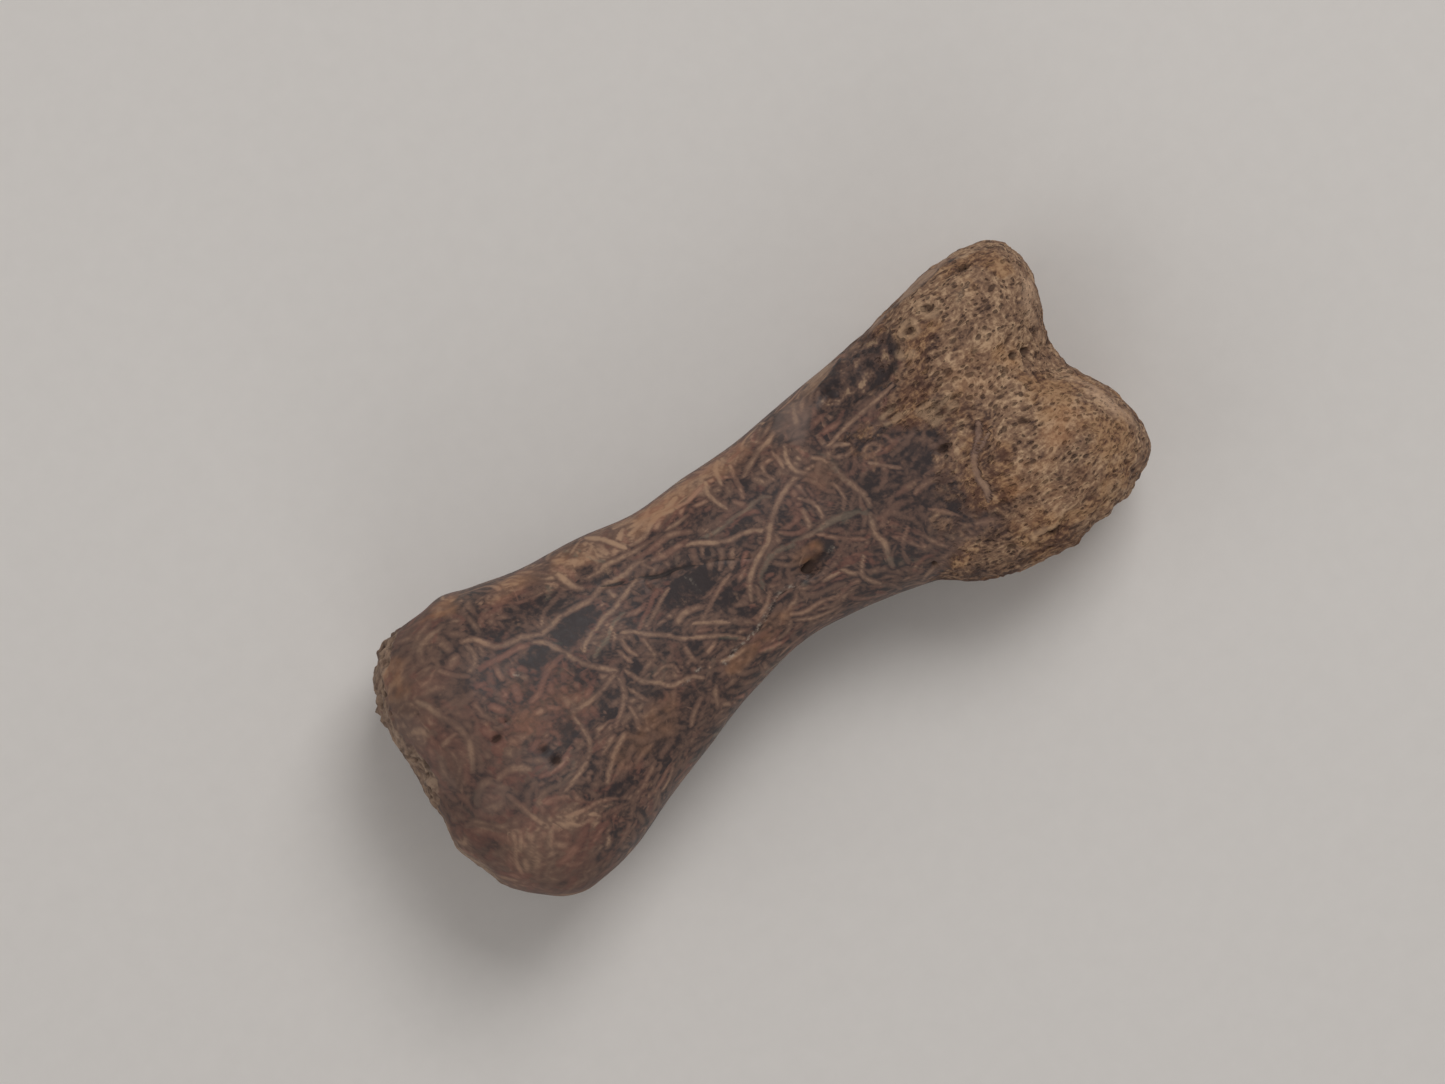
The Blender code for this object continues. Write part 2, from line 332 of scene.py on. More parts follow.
# %% [markdown]
# ## Fine relief
# Old bone isn't smooth. Its worn ends crumble, its spongy parts are full of pores, and it cracks. All
# of this is real relief in the mesh: a height in millimetres for every point, pushed out along the
# normal. It starts with a noise: random values on a lattice of cells, blended smoothly between them.


# %% A lattice noise
TURN = np.linalg.qr(np.array(((2.0, 1.0, 0.3), (-1.0, 2.0, 1.0), (1.0, -0.4, 3.0))))[0]


def lattice_noise(points, cell, seed, stretch=(1.0, 1.0, 1.0)):
    """Smooth random values from -1 to 1. cell is the lattice's pitch, and stretch lengthens the cells.

    The lattice is turned away from the bone's axes, so that its rows don't show.
    """
    place = (points / np.array(stretch)) @ TURN / cell
    low = np.floor(place.reshape(-1, 3).min(axis=0)).astype(int)
    size = np.ceil(place.reshape(-1, 3).max(axis=0)).astype(int) - low + 2
    values = np.random.default_rng(seed).uniform(-1, 1, size)
    corner = np.floor(place).astype(int)
    t = place - corner
    t = t * t * (3 - 2 * t)
    corner = corner - low
    total = np.zeros(points.shape[:-1])
    for dx, dy, dz in np.ndindex(2, 2, 2):
        weight = 1.0
        for axis, step in enumerate((dx, dy, dz)):
            weight = weight * (t[..., axis] if step else 1 - t[..., axis])
        total += weight * values[corner[..., 0] + dx, corner[..., 1] + dy, corner[..., 2] + dz]
    return total


def layered_noise(points, cell, seed, octaves=3, stretch=(1.0, 1.0, 1.0)):
    """Noise with finer and fainter copies of itself added, each half as large."""
    total = 0.0
    for octave in range(octaves):
        total = total + lattice_noise(points, cell / 2**octave, seed + octave, stretch) / 2**octave
    return total


# %% [markdown]
# ### Where the bone is spongy, pale or crumbling
# Each of these is a mask from 0 to 1. The relief uses them here, and the finish will use them again.

# %% Masks of the bone's zones
CREST = (4, 5.9, 5, 5.6, 6.5, 5.4, 7.5, 5.5, 8.5, 5.8, 9.5, 6.15, 11, 6.35, 13, 6.5, 14.5, 6.6, 15.3, 6.8,
         16, 7.2, 17, 7.8)
SOCKET_EDGE = (-1.2, -19.5, -0.4, -18.5, 0, -18, 0.5, -17.7, 1.5, -17.65, 2.5, -17.75, 3.5, -17.85,
               4.3, -17.75, 5, -17.5, 5.5, -17.2, 6, -16.9, 6.6, -16.3, 7.1, -15.8, 7.6, -15.1)
RIM = (-7, 19, -4.5, 18.2, -3.5, 17.8, -2.3, 17.5, -1, 17.1, 0, 17.05, 1.5, 17, 2.9, 17.15, 4.5, 17.9,
       6, 18.5)

# Where the zones start and end, in millimetres along x or up
LOBES_START = (-12.0, -15.5)
SPONGE_START = (7.8, 12.2)
BAND_START, BAND_END, BAND_LEVEL = (5.0, 7.5), (18.0, 15.5), (5.4, 8.4)
LEDGE_START, LEDGE_END = (7.6, 8.8), (18.6, 17.0)
RIM_LEVEL = (6.6, 9.0)

wander = layered_noise(base, 2.2, 11)
lobes = smoothstep(*LOBES_START, x + 1.2 * wander)
past_crest = y - curve_over(x, CREST)
past_rim = x - curve_over(y, RIM)
past_socket_edge = curve_over(y, SOCKET_EDGE) - x
on_right = smoothstep(*BAND_START, x)
side_face = smoothstep(0.45, 0.75, normals[..., 1]) * smoothstep(8.0, 7.4, z)
side_band = np.maximum(smoothstep(-0.05, 0.16, past_crest), side_face)
side_band = side_band * on_right * smoothstep(*BAND_END, x + 0.9 * wander)
frayed_level = z + layered_noise(base, 1.6, 15) + 1.2 * layered_noise(base, 0.6, 16)
side_band = side_band * smoothstep(*BAND_LEVEL, frayed_level)
rim_band = smoothstep(-0.1, 0.35, past_rim) * smoothstep(-0.2, 0.2, normals[..., 0]) * (x > 12)
rim_band = rim_band * smoothstep(*RIM_LEVEL, z + 0.8 * wander)
reached = x + 1.6 * wander + 2.7 * bell(y, 2.3, 1.2) + 0.8 * bell(y, -2.6, 1.6)
reached = reached + 3.0 * smoothstep(-3.8, -5.4, y)
reached = reached + 1.4 * hidden * layered_noise(base, 2.8, 13)
spongy = smoothstep(*SPONGE_START, reached) * (1 - side_band)
calm_shaft = spot(x, y, (8.6, -0.8), (2.4, 3.2)) + spot(x, y, (-8.0, -3.6), (3.6, 1.2))
calm_shaft = calm_shaft * facing_up
calm = np.maximum(0.8 * lobes, 0.5 * calm_shaft)
socket_face = smoothstep(0.75, 0.95, -normals[..., 0]) * smoothstep(0.45, 0.15, normals[..., 2])
socket_strip = past_socket_edge + 0.12 * layered_noise(base, 0.8, 12)
socket_strip = smoothstep(-0.15, 0.15, socket_strip) * (z > 3)
ledge_rim = smoothstep(*LEDGE_START, x) * smoothstep(*LEDGE_END, x)
ledge_rim = ledge_rim * smoothstep(-0.35, -0.8, normals[..., 1])
print("spongy share:", f"{spongy.mean():.0%}", "side band share:", f"{side_band.mean():.1%}")


# %% Shapes drawn in plan on the upper face
def smooth_line(row, step=0.12):
    """A polyline through a row's points, resampled finely along a cubic curve in each coordinate."""
    points = pairs(row)
    reach = np.concatenate(([0.0], np.cumsum(np.linalg.norm(np.diff(points, axis=0), axis=1))))
    fine = np.arange(0.0, reach[-1] + step / 2, step)
    return np.stack([curve_through(fine, reach, column) for column in points.T], axis=-1)


def distance_to_line(places, line, widths=1.0):
    """The distance from each place to the nearest leg of a line, over the line's half width there."""
    start, leg = line[:-1], np.diff(line, axis=0)
    from_start = places[..., None, :] - start
    t = np.clip((from_start * leg).sum(axis=-1) / (leg**2).sum(axis=-1), 0, 1)
    away = np.linalg.norm(from_start - t[..., None] * leg, axis=-1)
    return (away / widths).min(axis=-1)


def near_line(places, line, margin):
    """Which places lie within the line's box, widened by a margin."""
    return ((places > line.min(axis=0) - margin) & (places < line.max(axis=0) + margin)).all(axis=-1)


def depth_inside(polygon):
    """How deep each upward-facing point lies inside a polygon drawn in plan; negative outside it."""
    corners = pairs(polygon + polygon[:2])
    near = near_line(plan, corners, 1.0) & on_top
    places = plan[near]
    away = distance_to_line(places, corners)
    inside = np.zeros(len(places), bool)
    for (ax, ay), (bx, by) in zip(corners[:-1], corners[1:]):
        if ay != by:
            crosses = (places[:, 1] > min(ay, by)) & (places[:, 1] <= max(ay, by))
            inside ^= crosses & (places[:, 0] < ax + (places[:, 1] - ay) * (bx - ax) / (by - ay))
    depth = np.full(GRID, -1.0)
    depth[near] = np.where(inside, away, -away)
    return depth


CHIP = (6.6, 4.5, 7, 5.1, 8, 5.6, 9.3, 6.1, 10.5, 6.2, 11.6, 5.9, 11.3, 4.6, 10.6, 4.2, 10, 3.9, 8, 3.8,
        7.2, 4)
chip_mask = smoothstep(-0.15, 0.25, depth_inside(CHIP) + 0.16 * layered_noise(base, 0.7, 21))
print("points in the chip:", int((chip_mask > 0.5).sum()))

# %% The points around a place
area = np.linalg.norm(np.cross(np.gradient(base, axis=0), np.gradient(base, axis=1)), axis=-1)


def window_around(site, reach):
    """Row and column of a grid point, and an index of the points around it. Columns wrap round."""
    row, column = divmod(int(site), base.shape[1])
    rows = np.arange(max(row - reach, 0), min(row + reach + 1, base.shape[0]))
    return row, column, np.ix_(rows, np.arange(column - reach, column + reach + 1) % base.shape[1])


def draw_sites(random, count, chance, replace=True):
    """Random grid points, each with its own chance."""
    return random.choice(chance.size, count, replace=replace, p=chance.ravel() / chance.sum())


# %% Pores
PORE_WINDOW = 9


def scatter_pores(count, seed, weight, radii, depth, stretch):
    """A height field of round pits. Sites are grid points drawn by weight; each digs within its radius.

    A pit's depth falls off as (1 - d^2)^2, where d is the distance from its site over its radius, and
    it is drawn out along x by stretch.
    """
    random = np.random.default_rng(seed)
    sites = draw_sites(random, count, weight * area, replace=False)
    sizes = random.uniform(*radii, count) * random.uniform(0.75, 1.0, count)
    drawn_out = random.uniform(1.0, stretch, count)
    pits = np.zeros(GRID)
    for site, size, draw in zip(sites, sizes, drawn_out):
        row, column, window = window_around(site, PORE_WINDOW)
        away = base[window] - base[row, column]
        away[..., 0] /= draw
        d2 = (away**2).sum(axis=-1) / size**2
        dug = np.clip(1 - d2, 0, 1) ** 2 * min(depth, 0.9 * size)
        pits[window] = np.maximum(pits[window], dug)
    return pits


open_bone = spongy * (1 - 0.9 * rim_band)
in_hollow = spot(x, y, (15.6, 0.9), (1.9, 1.9)) * facing_up
worn_edge = socket_strip * smoothstep(0.85, 0.5, normals[..., 2]) * (z > 5.5)

# Sorts of pore: count, seed, chance, smallest and largest radius, depth, how long
PORES = (
    (1700, 31, open_bone + 0.0005, (0.09, 0.15), 0.08, 2.2),
    (40, 32, open_bone * (0.15 + 3 * in_hollow), (0.17, 0.28), 0.2, 1.8),
    (60, 33, 0.5 * socket_face + socket_strip, (0.12, 0.28), 0.18, 1.6),
    (90, 34, worn_edge, (0.18, 0.36), 0.2, 1.0),
)
pores = np.max([scatter_pores(*sort) for sort in PORES], axis=0)
print("deepest pore:", round(float(pores.max()), 2), "mm")

# %% [markdown]
# ### Holes, slits and cracks
# The photograph shows a few marks that anyone would look for: a broken hole in the shaft, cracks, and
# slits by the crest. They lie on the upper face, so their places are x and y in millimetres.

# %% Holes and slits on the upper face: x, y, half length, half width, depth, turn in degrees
HOLES = (
    (-14.2, 0.7, 0.34, 0.18, 0.28, 0),
    (-13.4, 1.1, 0.14, 0.08, 0.12, -20),
    (-12.7, -0.95, 0.24, 0.20, 0.12, 0),
    (-12.5, -1.68, 0.26, 0.22, 0.22, 0),
    (10.4, -0.15, 0.34, 0.20, 0.35, 0),
    (7.05, -4.35, 0.14, 0.13, 0.25, 0),
    (16.05, 6.32, 0.45, 0.16, 0.40, -8),
    (17.8, 6.3, 0.34, 0.08, 0.25, -15),
    (12.5, -6.22, 0.55, 0.10, 0.25, -4),
    (10.4, -5.8, 0.35, 0.12, 0.22, -5),
    (12.25, 5.25, 0.42, 0.20, 0.28, -10),
    (13.55, 5.6, 0.32, 0.26, 0.30, 0),
    (16.2, 1.35, 0.26, 0.22, 0.40, 0),
    (15.6, 1.5, 0.24, 0.18, 0.35, 30),
    (14.2, -1.2, 0.34, 0.12, 0.30, -35),
    (9.35, 2.86, 0.42, 0.09, 0.18, 0),
    (9.4, 2.47, 0.45, 0.09, 0.18, 3),
    (10.8, 2.12, 0.36, 0.11, 0.22, 5),
    (11.1, 1.70, 0.62, 0.11, 0.22, 2),
    (11.2, 1.30, 0.50, 0.10, 0.20, 6),
    (12.2, 1.55, 0.34, 0.10, 0.20, 0),
    (11.9, 2.35, 0.40, 0.09, 0.18, 4),
    (12.1, -0.15, 0.22, 0.12, 0.2, -20),
    (18.5, -3.2, 0.12, 0.22, 0.15, 20),
    (11.5, 2.6, 0.28, 0.08, 0.16, 25),
)


def from_ellipse(at_x, at_y, half_long, half_wide, degrees):
    """The distance in plan from an ellipse's centre, over its size in that direction."""
    c, s = np.cos(np.radians(degrees)), np.sin(np.radians(degrees))
    long_way = ((x - at_x) * c + (y - at_y) * s) / half_long
    wide_way = ((y - at_y) * c - (x - at_x) * s) / half_wide
    return np.sqrt(long_way**2 + wide_way**2)


def hand_made_pits(soft_edge=0.06):
    """Each hole is an ellipse turned about z, dug as (1 - d^2)^2 on the part that faces up."""
    dug = np.zeros(GRID)
    for at_x, at_y, half_long, half_wide, depth, degrees in HOLES:
        away = from_ellipse(at_x, at_y, half_long + soft_edge, half_wide + soft_edge, degrees)
        dug = np.maximum(dug, np.clip(1 - away**2, 0, 1) ** 2 * depth)
    return dug * facing_up


BROKEN_HOLE = (1.72, -1, 2.1, -0.84, 2.7, -0.78, 3.1, -0.84, 3.45, -0.98, 2.95, -1.24, 2.4, -1.32,
               2.05, -1.42, 1.85, -1.25)
HOLE_DEPTH_AT, HOLE_DEPTH = (1.8, 2.1, 2.5, 3.4), (0.50, 0.28, 0.11, 0.05)
in_hole = smoothstep(0.0, 0.16, depth_inside(BROKEN_HOLE) + 0.03 * lattice_noise(base, 0.3, 35))
holes = np.maximum(hand_made_pits(), in_hole * np.interp(x, HOLE_DEPTH_AT, HOLE_DEPTH))
print("holes placed:", len(HOLES) + 1)

# %% Cracks, chalk and ridges on the upper face: each row is the x and y of a line's points
CRACKS = (
    (-6.3, 3.75, -5.6, 3.4, -5, 3.2, -4.5, 3, -4, 2.7, -3, 2.4, -2.1, 2),
    (-4.45, 3, -4.5, 2.6, -4.45, 2.2),
    (-4.45, 3, -4, 2.62, -3.4, 2.42, -3, 2.4),
    (1.6, -1.5, 2, -1.45, 2.6, -1.35),
)
FAINT_CRACKS = (
    (-2.1, 2, -1.2, 1.6, -0.5, 1.2, 0.2, 0.8),
    (-3.2, -2.35, -2, -2.3, -1.2, -2.1, -0.5, -1.8, 0, -1.5, 0.6, -1.4, 1.2, -1.55),
    (1.2, -1.55, 2, -1.45, 3, -1.25, 3.8, -0.9),
)


CHALK_LINES = (
    (-3.6, -2.5, -2.9, -2.3, -2, -2.2, -1.2, -2, -0.6, -1.72, 0, -1.4, 0.6, -1.28, 1.2, -1.42),
    (-2.75, 1.75, -2.7, 1.35, -2.72, 0.9),
    (-5.75, -2.25, -5.4, -2.2),
    (-4.9, -2.05, -4.65, -2.03),
    (-11.85, 2.6, -11.7, 2.58),
    (3.35, -1, 3.6, -1),
)
RIDGES = (
    (12.1, 5.6, 11.92, 5.3, 12.05, 5, 12.35, 4.9, 12.65, 5.05),
    (12.35, 5.7, 12.65, 5.62, 12.78, 5.4, 12.6, 5.2),
    (13.3, 5.95, 13.22, 5.6, 13.4, 5.3, 13.75, 5.22, 14, 5.45, 13.95, 5.8),
    (14.9, 5, 15.3, 5.3, 15.8, 5.5),
    (11.2, 4.6, 11.5, 4.3, 11.9, 4.4),
    (8.9, 2.66, 9.5, 2.68, 10.1, 2.64),
    (8.9, 2.28, 9.5, 2.30, 10, 2.26),
    (10.4, 1.90, 11, 1.92, 11.8, 1.95),
    (10.6, 1.48, 11.3, 1.52, 12, 1.75),
    (10.7, 1.08, 11.3, 1.12, 12, 1.2),
    (11.6, -5.9, 12.4, -6, 13.2, -5.95),
)


def distance_in_plan(lines, limit=1.0):
    """Distance in plan to the nearest of the lines, for points that face up, and limit elsewhere."""
    nearest = np.full(GRID, limit)
    for row in lines:
        line = smooth_line(row)
        near = near_line(plan, line, limit) & on_top
        nearest[near] = np.minimum(nearest[near], distance_to_line(plan[near], line))
    return nearest


jitter = 0.05 * lattice_noise(base, 0.35, 41)
crack = distance_in_plan(CRACKS) + jitter
faint_crack = distance_in_plan(FAINT_CRACKS) + jitter
crack = np.minimum(crack, faint_crack + 0.03)
chalk = smoothstep(0.12, 0.03, distance_in_plan(CHALK_LINES) + jitter)
ridge_line = smoothstep(0.20, 0.05, distance_in_plan(RIDGES) + 3.2 * jitter)
print("points beside a crack:", int((crack < 0.12).sum()))


# %% Heights of the fine relief
ridge = bell(past_crest, -0.05, 0.16) * on_right * smoothstep(16.5, 15.0, x) * facing_up
knobs = bell(x, 16.6, 1.2) * smoothstep(-0.5, 0.1, past_crest) * smoothstep(5.5, 8.0, z)

# Rough zones: where, size and seed of their noise, its octaves, its height, and what is added
ROUGH_ZONES = (
    (socket_strip, 0.55, 81, 2, 0.20, -0.07),
    (socket_face, 0.7, 91, 3, 0.07, 0.0),
    (ledge_rim, 0.75, 101, 3, 0.16, 0.0),
    (chip_mask, 0.85, 111, 3, 0.17, -0.13),
    (ridge, 0.6, 105, 2, 0.08, 0.08),
    (knobs, 0.6, 121, 2, 0.24, 0.0),
)

# Fine grooves that follow the knuckle's rim: how far past it, and how deep
RIM_GROOVES = ((0.0, 0.09), (0.3, 0.04), (0.62, 0.05), (1.0, 0.03))
RIM_GROOVE_HALF_WIDTH = 0.10

# Heights of the grain everywhere, of the sponge, and of the drawn ridges and cracks
GRAIN_HEIGHT, LUMP_HEIGHT, LOBE_LUMP_HEIGHT = 0.005, 0.012, 0.015
SPONGY_LUMPS, SPONGY_FIBRES, SPONGY_GRAIN = 0.04, 0.055, 0.03
RIDGE_HEIGHT, CRACK_DEPTH, CRACK_HALF_WIDTH = 0.07, 0.07, 0.08


def fine_relief():
    """Outward height in millimetres: grain, crumbling edges, fibres, chip, cracks, holes and pores."""
    grain = layered_noise(base, 0.55, 51, 2)
    lumps = layered_noise(base, 1.3, 61, 3)
    fibres = layered_noise(base, 0.30, 71, 2, stretch=(4.0, 1.0, 1.0))
    height = GRAIN_HEIGHT * grain + LUMP_HEIGHT * lumps + lobes * LOBE_LUMP_HEIGHT * lumps
    sponge = SPONGY_LUMPS * lumps + SPONGY_FIBRES * fibres + SPONGY_GRAIN * grain
    height += spongy * sponge * (1 - 0.7 * rim_band)
    for zone, cell, seed, octaves, rise, level in ROUGH_ZONES:
        height += zone * (rise * layered_noise(base, cell, seed, octaves) + level)
    for offset, depth in RIM_GROOVES:
        height -= depth * bell(past_rim, offset, RIM_GROOVE_HALF_WIDTH) * (x > 14) * facing_up
    height += RIDGE_HEIGHT * ridge_line - CRACK_DEPTH * bell(crack, 0.0, CRACK_HALF_WIDTH)
    return height - pores - holes


relief = fine_relief()
surface = base + relief[..., None] * normals
surface[..., 2] = np.maximum(surface[..., 2], GROUND)
print("relief from", round(float(relief.min()), 2), "to", round(float(relief.max()), 2), "mm")

# %% [markdown]
# ## Markings
# The paler lines on the shaft are colour only, so they aren't raised. The long ones are drawn as
# curves. What is stored isn't their colour but the distance to the nearest one, divided by its half
# width: a distance changes evenly from point to point, so a narrow line keeps its shape between them.

